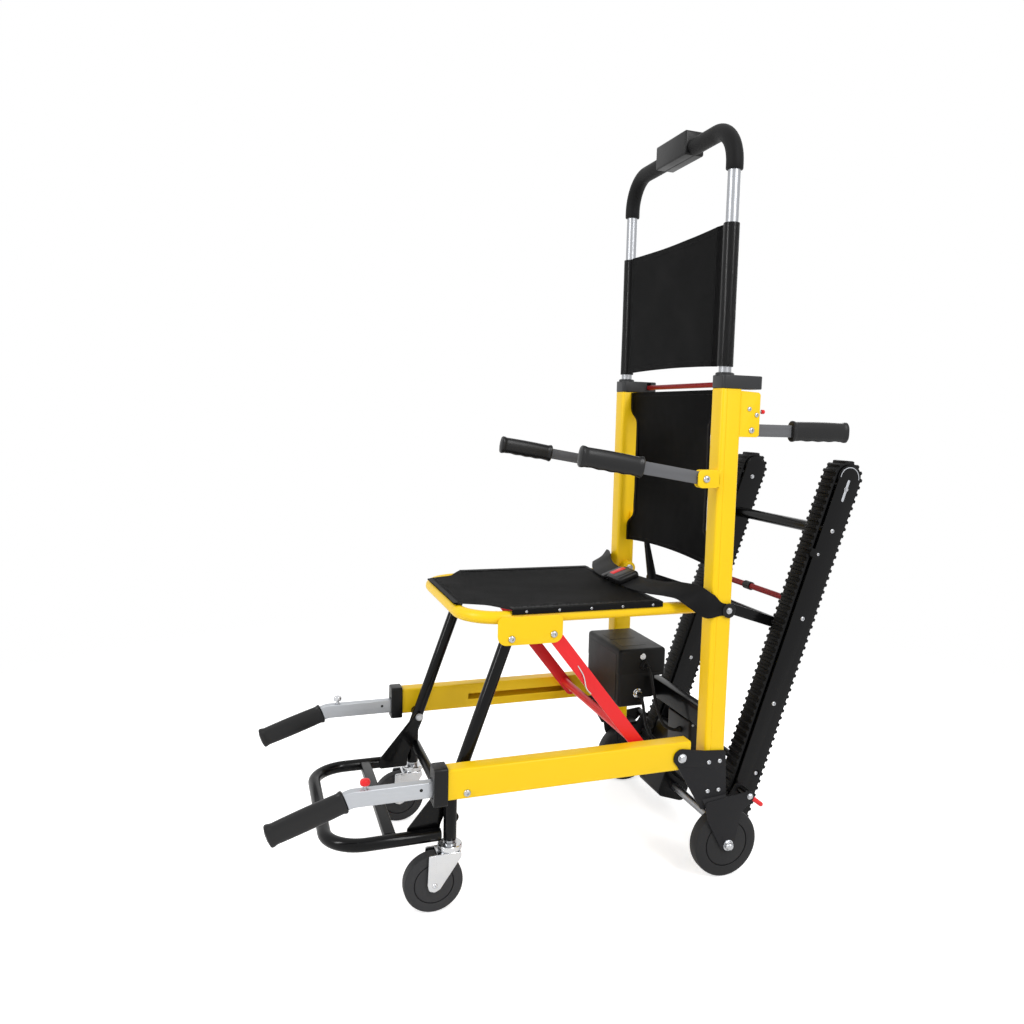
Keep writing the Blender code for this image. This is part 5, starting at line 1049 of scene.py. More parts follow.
SLEEVE_HEIGHT = SLEEVE_Z[1] - SLEEVE_Z[0]
SEAM_LIFT = (0, -0.0003, 0)
rows = [sleeve_row(SLEEVE_Z[0] + SLEEVE_HEIGHT * step / SLEEVE_ROWS) for step in range(SLEEVE_ROWS + 1)]
sheet = shell(rows, -SLEEVE_WALL)
sleeve = piece("upper_back_cloth", "frame", SLEEVE_CLOTH, [sheet], ["upper_back_sleeve"], SOFT_EDGE)
seams = []
for column in (LOOP_STEPS + SPAN_STEPS - 7, LOOP_STEPS + 7):
    seams += stitches([row[column] for row in rows], SEAM_LIFT)
for row in (rows[2], rows[SLEEVE_ROWS - 2]):
    seams += stitches(row[LOOP_STEPS : LOOP_STEPS + SPAN_STEPS + 1], SEAM_LIFT)
seam_piece = piece("upper_back_stitches", "frame", THREAD, seams)
for cloth in (sleeve, seam_piece):
    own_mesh(cloth)

# %% [markdown]
# The backrest is one sheet between the posts, cut in at the waist so that it pulls flat. It bows a little
# towards the back, except at the top and bottom, where the cross members stand close behind it. Hems run
# along its edges.

# %% Backrest sheet
BACK_FACE = 0.0045
BACK_WALL = 0.003
BACK_COLUMNS = 36
BACK_EDGE = [(REACH, 0.565), (REACH, 0.604), (0.158, 0.6230), (0.158, 0.8270), (REACH, 0.846), (REACH, 0.886)]


def back_point(x, z, width):
    """A point of the sheet, where it is this wide from its middle to its edge."""
    hang = 1 - (x / width) ** 2
    room = step_between(z, 0.64, 0.70) * (1 - step_between(z, 0.77, 0.838))
    lift = 0.009 * hang * (1 - step_between(z, 0.565, 0.66))
    y = BACK_FACE + hang * room * 0.010 + hang * crease((x, 0, z), 11, 0.0014) * (0.25 + 0.75 * room)
    return (x, y + crease((x * 3, 2, z), 30, 0.0003), z + lift)


back_edge = fine(rounded(BACK_EDGE, 0.016, 8, closed=False), 0.007)
rows = [[back_point(x, point.y, point.x) for x in even_places(point.x, BACK_COLUMNS)] for point in back_edge]
sheet = shell(rows, -BACK_WALL)
back_sheet = piece("backrest_cloth", "frame", BACK_CLOTH, [sheet], ["backrest_sheet"], SOFT_EDGE)
hems, seams = [], []
for sign in SIDES.values():
    edge = [back_point(sign * (point.x - 0.006), point.y, point.x) for point in back_edge]
    hems.append(hem(edge, (1, 0, 0), (0, -1, 0), 0.011, 0.0009))
    edge = [back_point(sign * (point.x - 0.0095), point.y, point.x) for point in back_edge]
    seams += stitches(edge, (0, -0.001, 0))
for z in (0.573, 0.878):
    seams += stitches([back_point(x, z, REACH) for x in even_places(0.175, 25)], SEAM_LIFT)
back_hems = piece("backrest_hems", "frame", BACK_CLOTH, hems, sharp=SOFT_EDGE)
back_seams = piece("backrest_stitches", "frame", THREAD, seams)

# %% [markdown]
# The seat is a yellow tube bent in a U, with two bracket plates that carry the legs and the red brace. Its
# rear ends turn on bolts in the posts. The plates have round corners and two bright bolts each.

# %% Seat frame
SEAT_X, SEAT_Z, SEAT_FRONT = 0.176, 0.494, -0.444
LEG_PIVOT, BRACE_PIVOT, BRACE_END = (-0.372, 0.461), (-0.298, 0.465), (-0.118, 0.236)
PLATE_X = (0.190, 0.193)


def bush(centre, half, bore, radius, soft, sides):
    """A short sleeve along X with softened rims."""
    profile = [(-half, bore), (-half, radius - soft), (soft - half, radius)]
    profile += [(half - soft, radius), (half, radius - soft), (half, bore)]
    return turned(profile, centre, (1, 0, 0), sides, loop=True)


corners = [(SEAT_X, 0.0), (SEAT_X, SEAT_FRONT), (-SEAT_X, SEAT_FRONT), (-SEAT_X, 0.0)]
line = rounded([(x, y, SEAT_Z) for x, y in corners], 0.070, 14, closed=False)
shapes = [tube(line, TUBE_RADIUS, 32, 0.0015)]
bolts = []
outline = [(-0.396, 0.450), (-0.282, 0.450), (-0.282, 0.498), (-0.396, 0.498)]
outline = rounded(outline, (0.016, 0.016, 0.010, 0.010))
for sign in SIDES.values():
    shapes.append(bush((sign * SEAT_X, *SEAT_PIVOT), 0.010, 0.0054, 0.014, 0.0008, 40))
    shapes.append(plate([outline], "YZ", pair(sign, *PLATE_X), 0.0006))
    shapes.append(block(pair(sign, SEAT_X, 0.1915), (-0.384, -0.294), (0.490, 0.497), 0.001))
    for point in (LEG_PIVOT, BRACE_PIVOT):
        bolts.append(pan_head((sign * PLATE_X[1], *point), (sign, 0, 0), 0.0062))
    bolts.append(rod(pair(sign, 0.157, 0.191), LEG_PIVOT, 0.005))
    bolts.append(rod(pair(sign, 0.1825, 0.191), BRACE_PIVOT, 0.005))
    bolts.append(acorn_nut((sign * 0.159, *LEG_PIVOT), (-sign, 0, 0), 0.0045))
    bolts.append(acorn_nut((sign * 0.1836, *BRACE_PIVOT), (-sign, 0, 0), 0.0042))
piece("seat_frame_tube", "seat", YELLOW, shapes, ["seat_frame"])
piece("seat_frame_bolts", "seat", ZINC, bolts)
print("seat frame")

# %% [markdown]
# The seat cloth is stretched over the side tubes and the front tube. Its front corners are cut away in a
# curve, a doubled strip runs along each side with rivets in its outer edge, and the middle sags by a few
# millimetres.

# %% Seat cloth
CLOTH_Z, CLOTH_WALL = 0.5086, 0.003
SEAT_EDGE = [(0.187, -0.092), (0.187, -0.372), (0.139, -0.400), (0.115, -0.452)]
SEAT_COLUMNS = 40


def seat_sag(x, y):
    """How far the cloth hangs below the tubes' tops."""
    middle = max(0.0, 1 - (x / 0.163) ** 2)
    return 0.0055 * middle * step_between(-y, 0.085, 0.17) * (1 - step_between(-y, 0.36, 0.436))


def seat_point(x, y):
    """A point of the cloth, which bends down over the front tube."""
    z = CLOTH_Z - seat_sag(x, y) + crease((x, y, 0), 14, 0.0009) * max(0.0, 1 - (x / 0.17) ** 2)
    over = max(0.0, SEAT_FRONT - y)
    return (x, y, z + crease((x, y, 4), 45, 0.0002) - 30 * over * over)


seat_edge = fine(rounded(SEAT_EDGE, (0, 0.010, 0.030, 0), 8, closed=False), 0.008)
rows = [[seat_point(x, point.y) for x in even_places(point.x, SEAT_COLUMNS)] for point in seat_edge]
sheet = shell(rows, -CLOTH_WALL)
seat_sheet = piece("seat_cloth_sheet", "seat", SEAT_CLOTH, [sheet], ["seat_sheet"], SOFT_EDGE)
strips, seams, rivets = [], [], []
BAND_X, BAND_Z = 0.1886, (0.5003, 0.5095)
RIVETS, RIVET_START, RIVET_SPACING = 5, -0.112, 0.0585
for sign in SIDES.values():
    edge = [point.y for point in seat_edge if point.y > -0.371]
    strips.append(hem([seat_point(sign * 0.177, y) for y in edge], (1, 0, 0), (0, 0, 1), 0.019, 0.0011))
    seams += stitches([seat_point(sign * 0.1695, y) for y in edge], (0, 0, 0.0014))
    strips.append(block(pair(sign, 0.1862, BAND_X), (-0.371, -0.0925), BAND_Z, 0.0007))
    for step in range(RIVETS):
        spot = (sign * (BAND_X - 0.0005), RIVET_START - RIVET_SPACING * step, sum(BAND_Z) / 2)
        rivets.append(pan_head(spot, (sign, 0, 0), 0.0024))
for half, y, beside in ((0.112, -0.4475, 0.0105), (0.168, -0.0965, -0.007)):
    line = [seat_point(x, y) for x in even_places(half, 28)]
    strips.append(hem(line, (0, 1, 0), (0, 0, 1), 0.009, 0.0009))
    seams += stitches(line, (0, beside, 0.0003))
seat_strips = piece("seat_cloth_strips", "seat", SEAT_CLOTH, strips, sharp=SOFT_EDGE)
seat_seams = piece("seat_cloth_stitches", "seat", THREAD, seams)
piece("seat_cloth_rivets", "seat", ZINC, rivets)

# %% [markdown]
# The lap belt is flat webbing, modelled as it lies. It leaves an anchor on each post, twists over the seat
# tube and meets in a buckle on the seat. The anchors stay with the posts and the buckle moves with the
# seat; the two straps ride on no body. In the fold there is no room for the buckle between seat and back,
# where a real belt slips aside.

# %% Lap belt
BELT_WIDTH, BELT_THICKNESS = 0.044, 0.0018
BELT_ROWS = [
    ((0.2298, 0.018, 0.497), (0.0, 0.0, 1.0)),
    ((0.2298, -0.010, 0.502), (0.0, 0.2, 1.0)),
    ((0.2285, -0.028, 0.509), (0.0, 0.35, 0.94)),
    ((0.216, -0.042, 0.520), (0.1, 0.6, 0.8)),
    ((0.194, -0.052, 0.5265), (0.0, 0.85, 0.5)),
    ((0.165, -0.064, 0.5265), (0.0, 0.88, 0.48)),
    ((0.130, -0.077, 0.5225), (0.0, 0.90, 0.42)),
    ((0.085, -0.087, 0.5205), (0.0, 0.92, 0.38)),
    ((0.020, -0.090, 0.5185), (0.0, 0.94, 0.34)),
]


def belt_half(sign):
    """One half of the belt, narrow at its anchor and lying on the sagging cloth."""
    points = smooth_line([point for point, _ in BELT_ROWS], 6)
    widths = smooth_line([direction for _, direction in BELT_ROWS], 6)
    rings = []
    for index, (point, width) in enumerate(zip(points, widths)):
        heading = (points[min(index + 1, len(points) - 1)] - points[max(index - 1, 0)]).normalized()
        flare = 0.5 + 0.5 * step_between(-point.y, -0.006, 0.024)
        width = (width - width.dot(heading) * heading).normalized() * (flare * BELT_WIDTH / 2)
        lift = heading.cross(width).normalized() * (BELT_THICKNESS / 2)
        rest = step_between(-point.y, 0.100, 0.120)
        place = point - Vector((0, 0, seat_sag(point.x, point.y) * rest))
        section = [(-1, -0.5), (-0.97, -1), (0.97, -1), (1, -0.5), (1, 0.5), (0.97, 1), (-0.97, 1), (-1, 0.5)]
        ring = [place + width * w + lift * h for w, h in section]
        rings.append([(sign * spot.x, spot.y, spot.z) for spot in ring])
    return loft(rings)


ANCHOR = (0.016, 0.497)
ANCHOR_DISC = [(0, 0.013), (0.0022, 0.013), (0.0032, 0.012)]
ANCHOR_DISC += [(0.0032, 0.0065), (0.0022, 0.006), (0.0022, 0.0002)]
for side, sign in SIDES.items():
    stands_for = ["seat_belt"] if sign > 0 else ()
    strap = piece(f"belt_strap_{side}", "seat", WEBBING, [belt_half(sign)], stands_for, SOFT_EDGE, ride=False)
    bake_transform(strap)
    disc = turned(ANCHOR_DISC, (sign * 0.2306, *ANCHOR), (sign, 0, 0), 36)
    piece(f"belt_anchor_{side}", "frame", PLASTIC, [disc])
    bolt = hex_bolt((sign * 0.2328, *ANCHOR), (sign, 0, 0), 0.0042)
    piece(f"belt_bolt_{side}", "frame", ZINC, [bolt])
print("two belt halves")

# %% Buckle
BUCKLE_Y = -0.090
buckle_z = CLOTH_Z - seat_sag(0, BUCKLE_Y) + 0.0002
front_edge = Vector((0, BUCKLE_Y - 0.023, buckle_z))
TILT = Matrix.Rotation(math.radians(20), 4, "X")
TILT = Matrix.Translation(front_edge) @ TILT @ Matrix.Translation(-front_edge)


def buckle_block(x, half, z, *edge):
    """A block of the buckle, over a half width in Y and heights above the cloth."""
    heights = (buckle_z + z[0], buckle_z + z[1])
    return moved(block(x, (BUCKLE_Y - half, BUCKLE_Y + half), heights, *edge), TILT)


body = buckle_block((-0.013, 0.045), 0.023, (0.0, 0.016), 0.006, 5)
ridge = buckle_block((0.016, 0.034), 0.019, (0.012, 0.0166), 0.0015)
bar = buckle_block((-0.045, -0.029), 0.023, (0.0, 0.0085), 0.0025, 4)
buckle = piece("belt_buckle", "seat", PLASTIC, [body, ridge, bar])
tongue = [(-0.008, -0.012), (-0.032, -0.019), (-0.032, 0.019), (-0.008, 0.012)]
tongue = rounded([(x, BUCKLE_Y + y) for x, y in tongue], 0.003)
tongue = plate([tongue], "XY", (buckle_z + 0.0042, buckle_z + 0.0062), 0.0005)
latch_plate = piece("belt_tongue", "seat", CHROME, [moved(tongue, TILT)])
button = buckle_block((-0.0115, 0.006), 0.015, (0.010, 0.0169), 0.002)
release = piece("belt_button", "seat", RED, [button])
for part in (buckle, latch_plate, release):
    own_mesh(part)
print("buckle, tongue and button")

# %% [markdown]
# The legs are black enamelled tubes. A cross bar joins them, the bushes at mid height meet the side beams,
# and the footrest hangs from the same bolts. The footrest is one bent loop with a flat-topped bar across it
# and a gusset plate at each side.

# %% Leg frame
LEG_X, LEG_FOOT_Y = 0.171, -0.466
FOOT_PIVOT = (-0.457, 0.2176)
KNEE = [LEG_PIVOT, (LEG_FOOT_Y, 0.1918), (LEG_FOOT_Y, 0.1195)]

shapes, bolts = [], []
for sign in SIDES.values():
    line = rounded([(sign * LEG_X, y, z) for y, z in KNEE], 0.040, 12, closed=False)
    shapes.append(tube(line, TUBE_RADIUS, 32, 0.0008))
    shapes.append(bush((sign * LEG_X, *LEG_PIVOT), 0.012, 0.0054, 0.013, 0.0008, 40))
    shapes.append(rod(pair(sign, 0.169, 0.1967), FOOT_PIVOT, 0.009, 0.001))
    bolts.append(rod(pair(sign, 0.150, 0.173), FOOT_PIVOT, 0.005, 0.0008))
    bolts.append(hex_bolt((sign * 0.1515, *FOOT_PIVOT), (-sign, 0, 0), 0.0055))
shapes.append(rod((-LEG_X, LEG_X), (-0.460, 0.155), 0.009))
piece("leg_frame_tubes", "leg", BLACK, shapes, ["leg_frame"])
piece("leg_frame_bolts", "leg", ZINC, bolts)
print("leg frame")

# %% Footrest
FOOTREST_X, FOOTREST_Z = 0.165, 0.127
corners = [(FOOTREST_X, -0.480), (FOOTREST_X, -0.664), (-FOOTREST_X, -0.664), (-FOOTREST_X, -0.480)]
line = rounded([(x, y, FOOTREST_Z) for x, y in corners], 0.062, 14, closed=False)
shapes = [tube(line, TUBE_RADIUS, 32, 0.0025)]
shapes.append(tube([(-FOOTREST_X, -0.563, FOOTREST_Z), (FOOTREST_X, -0.563, FOOTREST_Z)], 0.008, 28))
shapes.append(block((-0.156, 0.156), (-0.5725, -0.5535), (FOOTREST_Z - 0.006, FOOTREST_Z + 0.0092), 0.0025))
outline = rounded(
    [(-0.4462, 0.2212), (-0.4606, 0.229), (-0.535, 0.138), (-0.535, 0.118), (-0.481, 0.118), (-0.479, 0.140)],
    (0.010, 0.008, 0.006, 0.004, 0.004, 0.010),
)
for sign in SIDES.values():
    shapes.append(plate([outline, hole(FOOT_PIVOT, 0.0055)], "YZ", pair(sign, 0.1525, 0.1565), 0.0006))
piece("footrest_loop", "footrest", BLACK, shapes, ["footrest"])
print("footrest")

# %% [markdown]
# The front casters are bought parts: a pressed fork with bright plating and a raised rib on each cheek, a
# swivel cup of two turned rings, and a grey rubber wheel whose flat side has one deep groove. They are
# drawn about their own stem and then turned to the way they stand.

# %% Casters
CASTER_TURN = math.pi
CASTER_TRAIL, CASTER_RADIUS = 0.028, 0.050
TYRE_SIDE = [(0.0085, 0.0322), (0.0085, 0.0337), (0.0117, 0.0338), (0.012, 0.0341)]
TYRE_SIDE += [(0.012, 0.0455), (0.0114, 0.0478), (0.0098, 0.0493), (0.006, 0.0499), (0.0, 0.050)]
DISC_SIDE = [(0.0118, 0.0056), (0.0118, 0.0316), (0.0115, 0.0321), (0.0080, 0.0323)]


def both_sides(half):
    """A closed wheel profile from its outer half."""
    return half + [(-d, r) for d, r in reversed(half) if d > 0]


FORK_RIB = [(0.0262, 0.1018), (0.0374, 0.1018), (0.0394, 0.052)]
FORK_RIB += [(0.0370, 0.0422), (0.0290, 0.0390), (0.0262, 0.0410)]
FORK_ARM = [(-0.0165, 0.094), (-0.0165, 0.1025), (0.038, 0.1025), (0.040, 0.052)]
FORK_ARM += [(0.0375, 0.0415), (0.028, 0.038), (0.019, 0.0425)]
LOWER_CUP = [(0.1020, 0.0178), (0.1035, 0.0186), (0.1045, 0.0186)]
UPPER_CUP = [(0.1040, 0.0195), (0.1048, 0.0205), (0.1117, 0.0205), (0.1128, 0.0194)]


def fork():
    """The fork with its ribs, cups, axle and rivets, about its own stem."""
    arm = rounded(FORK_ARM, (0.004, 0.002, 0.004, 0.008, 0.006, 0.006, 0.007), 5)
    shapes = [
        block((-0.0183, 0.0183), (-0.0163, 0.0235), (0.1003, 0.1027), 0.001),
        plate([arm], "YZ", (0.015, 0.018), 0.0005),
        plate([arm], "YZ", (-0.018, -0.015), 0.0005),
        rod((-0.0185, 0.0185), (CASTER_TRAIL, CASTER_RADIUS), 0.005),
        turned(LOWER_CUP, (0, 0, 0), (0, 0, 1), 40),
        turned(UPPER_CUP, (0, 0, 0), (0, 0, 1), 48),
    ]
    for way in (1, -1):
        shapes.append(pan_head((way * 0.0178, CASTER_TRAIL, CASTER_RADIUS), (way, 0, 0), 0.0046))
    for way in (1, -1):
        shapes.append(plate([rounded(FORK_RIB, 0.002)], "YZ", pair(way, 0.0178, 0.0187), 0.0004))
    return shapes


for side, sign in SIDES.items():
    place = Matrix.Translation((sign * LEG_X, LEG_FOOT_Y, 0)) @ Matrix.Rotation(CASTER_TURN, 4, "Z")
    body = f"caster_fork_{side}"
    piece(f"caster_{side}_fork", body, CHROME, [moved(shape, place) for shape in fork()], [body])
    centre = (0, CASTER_TRAIL, CASTER_RADIUS)
    body = f"caster_wheel_{side}"
    tyre = moved(turned(both_sides(TYRE_SIDE), centre, (1, 0, 0), 64, loop=True), place)
    piece(f"caster_{side}_tyre", body, CASTER_RUBBER, [tyre], [body])
    disc = moved(turned(both_sides(DISC_SIDE), centre, (1, 0, 0), 64, loop=True), place)
    piece(f"caster_{side}_disc", body, CASTER_RUBBER, [disc])
    stem = [hex_bolt((sign * LEG_X, LEG_FOOT_Y, 0.1136), (0, 0, 1), 0.0084)]
    piece(f"caster_{side}_stem_nut", "leg", ZINC, stem)
print("two casters")

# %% [markdown]
# The side beams are painted box tubes. A moulded cap closes the front of each, and the front carrying
# handle slides out through it. The handle's bar is bare aluminium, bent down at the end, with a rubber
# grip. A spring pin with a knob locks it. The grip is a loft of rounded sections: a flange at each end and
# hollows for the fingers below.


# %% Grips
def on_handle(origin, angle, forward, distance, up):
    """A (y, z) point along a handle's line and up from it."""
    rise = math.radians(angle)
    ahead = -1 if forward else 1
    y = origin[0] + ahead * (distance * math.cos(rise) - up * math.sin(rise))
    return (y, origin[1] + distance * math.sin(rise) + up * math.cos(rise))


def grip(x, origin, angle, forward, start, length, width, height, hollows=4):
    """A hand grip with a flange at each end and finger hollows on its lower side."""
    rings = []
    sides, steps = 32, 64
    for step in range(steps + 1):
        part_way = step / steps
        along = part_way * length
        swell = 0.90 + 0.06 * math.sin(math.pi * part_way)
        flange = 1 - step_between(along, 0.005, 0.011)
        flange += step_between(along, length - 0.013, length - 0.006)
        swell += (1.0 - swell) * flange
        soft = min(along, length - along)
        close = math.sqrt(max(0.02, 1 - (1 - min(1.0, soft / 0.004)) ** 2)) if soft < 0.004 else 1.0
        trough = math.sin(math.pi * hollows * (along - 0.012) / (length - 0.026)) ** 2
        trough *= step_between(along, 0.010, 0.016)
        trough *= 1 - step_between(along, length - 0.018, length - 0.012)
        ring = []
        for side in range(sides):
            turn = 2 * math.pi * side / sides
            across = math.copysign(abs(math.cos(turn)) ** 0.75, math.cos(turn))
            up = math.copysign(abs(math.sin(turn)) ** 0.75, math.sin(turn))
            dip = 0.0010 * trough * max(0.0, -math.sin(turn))
            tall = (height / 2 * swell - dip) * (0.35 + 0.65 * close)
            y, z = on_handle(origin, angle, forward, start + along, up * tall)
            ring.append((x + across * width / 2 * swell * (0.35 + 0.65 * close), y, z))
        rings.append(ring)
    return loft(rings)


print("grip tool ready")

# %% Side beams and end caps
BEAM_X, BEAM_Y, BEAM_Z = (0.197, 0.228), (-0.483, -0.046), (0.212, 0.263)
BEAM_PIVOT = (-0.0645, 0.2355)
FRONT_X, FRONT_Z = 0.2085, 0.2285
SLOT_Y, SLOT_Z = (-0.345, -0.118), (0.230, 0.242)


def shrunk(ends, wall):
    """A (low, high) pair drawn in by a wall at both ends."""
    return (ends[0] + wall, ends[1] - wall)


for side, sign in SIDES.items():
    outer = oblong(pair(sign, *BEAM_X), BEAM_Z, 0.0035)
    inner = oblong(pair(sign, *shrunk(BEAM_X, 0.003)), shrunk(BEAM_Z, 0.003), 0.0015)
    beam = plate([outer, inner], "XZ", BEAM_Y, 0.0004)
    slot = block(pair(sign, 0.190, 0.2015), SLOT_Y, SLOT_Z, 0.0008)
    rear = block(pair(sign, *shrunk(BEAM_X, 0.001)), (-0.0485, -0.0462), shrunk(BEAM_Z, 0.001), 0.0006)
    piece(f"beam_{side}_tube", "beams", YELLOW, [carved(beam, slot), rear], [f"beam_{side}"])
    outline = oblong(pair(sign, 0.195, 0.230), (0.203, 0.267), 0.005)
    opening = oblong((sign * FRONT_X - 0.0084, sign * FRONT_X + 0.0084), (0.2151, 0.2419), 0.001)
    cap = plate([outline, opening], "XZ", (-0.5043, -0.4833), 0.0014, 3)
    outline = oblong(pair(sign, 0.1955, 0.2295), (0.2035, 0.2665), 0.0048)
    opening = oblong((sign * FRONT_X - 0.0105, sign * FRONT_X + 0.0105), (0.2131, 0.2439), 0.002)
    lip = plate([outline, opening], "XZ", (-0.5058, -0.5035), 0.0006)
    piece(f"beam_cap_{side}", "beams", PLASTIC, [cap, lip], [f"beam_end_cap_{side}"])
    screws = [pan_head((sign * 0.228, -0.452, 0.222), (sign, 0, 0), 0.006)]
    screws += [pan_head((sign * 0.213, y, 0.212), (0, 0, -1), 0.003) for y in (-0.40, -0.25, -0.11)]
    piece(f"beam_{side}_screws", "beams", ZINC, screws)
print("two beams")

# %% Front carrying handles
FRONT_BEND, FRONT_DROP, FRONT_STUB = (-0.631, FRONT_Z), 19.4, 0.010
PIN_Y, BAR_TOP = -0.611, 0.2415
KNOB = [(0.0060, 0.0022), (0.0062, 0.0068), (0.0080, 0.0078), (0.0120, 0.0080)]
KNOB += [(0.0145, 0.0068), (0.0156, 0.0042), (0.016, 0.0001)]
STEM = [(-0.010, 0.0024), (0, 0.0024), (0.0001, 0.0050), (0.0016, 0.0050), (0.0018, 0.0024), (0.0070, 0.0024)]
FRONT_HALF = 0.013

mitre = math.tan(math.radians(FRONT_DROP) / 2) * FRONT_HALF
end_low = on_handle(FRONT_BEND, -FRONT_DROP, True, FRONT_STUB, -FRONT_HALF)
end_high = on_handle(FRONT_BEND, -FRONT_DROP, True, FRONT_STUB, FRONT_HALF)
outline = [(-0.400, FRONT_Z - FRONT_HALF), (FRONT_BEND[0] + mitre, FRONT_Z - FRONT_HALF), end_low, end_high]
outline += [(FRONT_BEND[0] - mitre, FRONT_Z + FRONT_HALF), (-0.400, FRONT_Z + FRONT_HALF)]
outline = rounded(outline, (0, 0.03, 0, 0, 0.04, 0), 6)
for side, sign in SIDES.items():
    x = sign * FRONT_X
    body = f"front_handle_{side}"
    bar = plate([outline], "YZ", (x - 0.008, x + 0.008), 0.0016, 3)
    piece(f"front_bar_{side}_tube", body, ALUMINIUM, [bar], [f"front_bar_{side}"])
    plug = rod((x - 0.0081, x + 0.0081), (-0.524, FRONT_Z + 0.002), 0.0028, 0.0002, 20)
    piece(f"front_bar_{side}_plug", body, PLASTIC, [plug])
    shape = grip(x, FRONT_BEND, -FRONT_DROP, True, FRONT_STUB - 0.001, 0.125, 0.020, 0.038, hollows=0)
    piece(f"front_grip_{side}_rubber", body, GRIP, [shape], [f"front_grip_{side}"])
    body = f"pull_pin_{side}"
    stem = turned(STEM, (x, PIN_Y, BAR_TOP + 0.0002), (0, 0, 1), 28)
    knob = turned(KNOB, (x, PIN_Y, BAR_TOP + 0.0003), (0, 0, 1), 36)
    piece(f"pull_pin_{side}_knob", body, RED if sign > 0 else CHROME, [knob], [body])
    piece(f"pull_pin_{side}_stem", body, ZINC, [stem])
print("two front handles")

# %% [markdown]
# The red brace is a pair of flat links joined by a bar. It holds the seat up: its upper end turns on the
# seat's bracket plates and its lower end slides in the beams. A thin wire clip rides on it.

# %% Brace
BRACE_HALF, BRACE_X = 0.012, (0.1847, 0.1897)
BRACE_BAR_UP = 0.025
up_brace = (Vector(BRACE_PIVOT) - Vector(BRACE_END)).normalized()
bar_point = Vector(BRACE_END) + up_brace * BRACE_BAR_UP
shapes, pins = [], []
for sign in SIDES.values():
    flat = [link(BRACE_PIVOT, BRACE_END, BRACE_HALF), hole(BRACE_PIVOT, 0.0055)]
    shapes.append(plate(flat, "YZ", pair(sign, *BRACE_X), 0.0006))
    pins.append(rod(pair(sign, 0.1855, 0.1967), BRACE_END, 0.005))
    pins.append(pan_head((sign * 0.1847, *BRACE_END), (-sign, 0, 0), 0.005))
shapes.append(rod((-0.1865, 0.1865), tuple(bar_point), 0.008))
piece("brace_links", "brace", RED, shapes, ["brace_frame"])
piece("brace_pins", "brace", ZINC, pins)
clip = Vector(BRACE_PIVOT) - up_brace * 0.075
WIRE = [(0.1895, 0.0, 0.0), (0.1925, 0.010, 0.018), (0.1925, 0.016, 0.040), (0.1895, 0.026, 0.052)]
wire = [(x, clip.x + back_by, clip.y - down) for x, back_by, down in WIRE]
piece("brace_wire_clip", "brace", CHROME, [tube(smooth_line(wire, 8), 0.0011, 12)])
print("brace")

# %% [markdown]
# The arms and the rear carrying handles are flat grey bars on a pivot, with the same kind of rubber grip.
# The arms rise a little to the front. The rear handles point straight back and fold down.

# %% Arms and rear handles
ARM_X, REAR_X = 0.230, 0.2145
HANDLES = {
    "arm": (ARM_X, ARM_PIVOT, 9.0, True, 0.006, 0.222, (0.118, 0.117, 0.022, 0.036)),
    "rear_handle": (REAR_X, REAR_PIVOT, 0.0, False, 0.008, 0.198, (0.089, 0.124, 0.024, 0.038)),
}
BAR_HALF = 0.011

for kind, (place, origin, angle, forward, thickness, length, sizes) in HANDLES.items():
    tip = on_handle(origin, angle, forward, length - BAR_HALF, 0.0)
    for side, sign in SIDES.items():
        x = sign * place
        body = f"{kind}_{side}"
        flat = [link(origin, tip, BAR_HALF, 14), hole(origin, 0.0045)]
        bar = plate(flat, "YZ", (x - thickness / 2, x + thickness / 2), 0.0009)
        piece(f"{kind}_{side}_bar", body, GREY, [bar], [f"{kind}_bar_{side}"])
        shape = grip(x, origin, angle, forward, *sizes)
        piece(f"{kind}_{side}_grip", body, GRIP, [shape], [f"{kind}_grip_{side}"])
    print(f"{kind}: bar {length * 1000:.0f} mm, grip {sizes[1] * 1000:.0f} mm")

# %% Red latches of the rear handles
LATCH_Z = 0.849
TIP = [(0, 0.0026), (0.001, 0.0038), (0.0055, 0.0038), (0.0068, 0.0028), (0.007, 0.0001)]
for side, sign in SIDES.items():
    x = sign * REAR_X
    pin = tube([(x, 0.056, LATCH_Z), (x, 0.0725, LATCH_Z)], 0.0018, 16)
    cross = rod(pair(sign, 0.2045, 0.2245), (0.058, LATCH_Z), 0.003)
    piece(f"rear_latch_{side}_pin", "frame", ZINC, [pin, cross])
    piece(f"rear_latch_{side}", "frame", RED, [turned(TIP, (x, 0.0718, LATCH_Z), (0, 1, 0), 28)])
print("two latches")

# %% [markdown]
# Each rear wheel stands between two satin black plates that are bolted to the post. The outer plate is
# cranked: its upper part lies on the post and its lower part clears the wheel. The wheel is dark rubber
# with flat sides, and one deep groove parts its tyre from its disc. A bright acorn nut ends the axle. A red
# wire bow behind is the brake's pedal.

# %% Wheel brackets
WHEEL_X, WHEEL_POINT = 0.220, (0.0334, 0.0635)
PEDAL_PIVOT, PEDAL_TIP, PEDAL_HALF = (0.075, 0.150), (0.109, 0.124), 0.0095
TRACK_PIVOT = (0.068, 0.054)
TOP_X, LOW_X, INNER_X = (0.2283, 0.2313), (0.2365, 0.2395), (0.2005, 0.2035)
PLATE_SCREWS = ((-0.010, 0.168), (-0.010, 0.222), (0.012, 0.168), (0.012, 0.222))

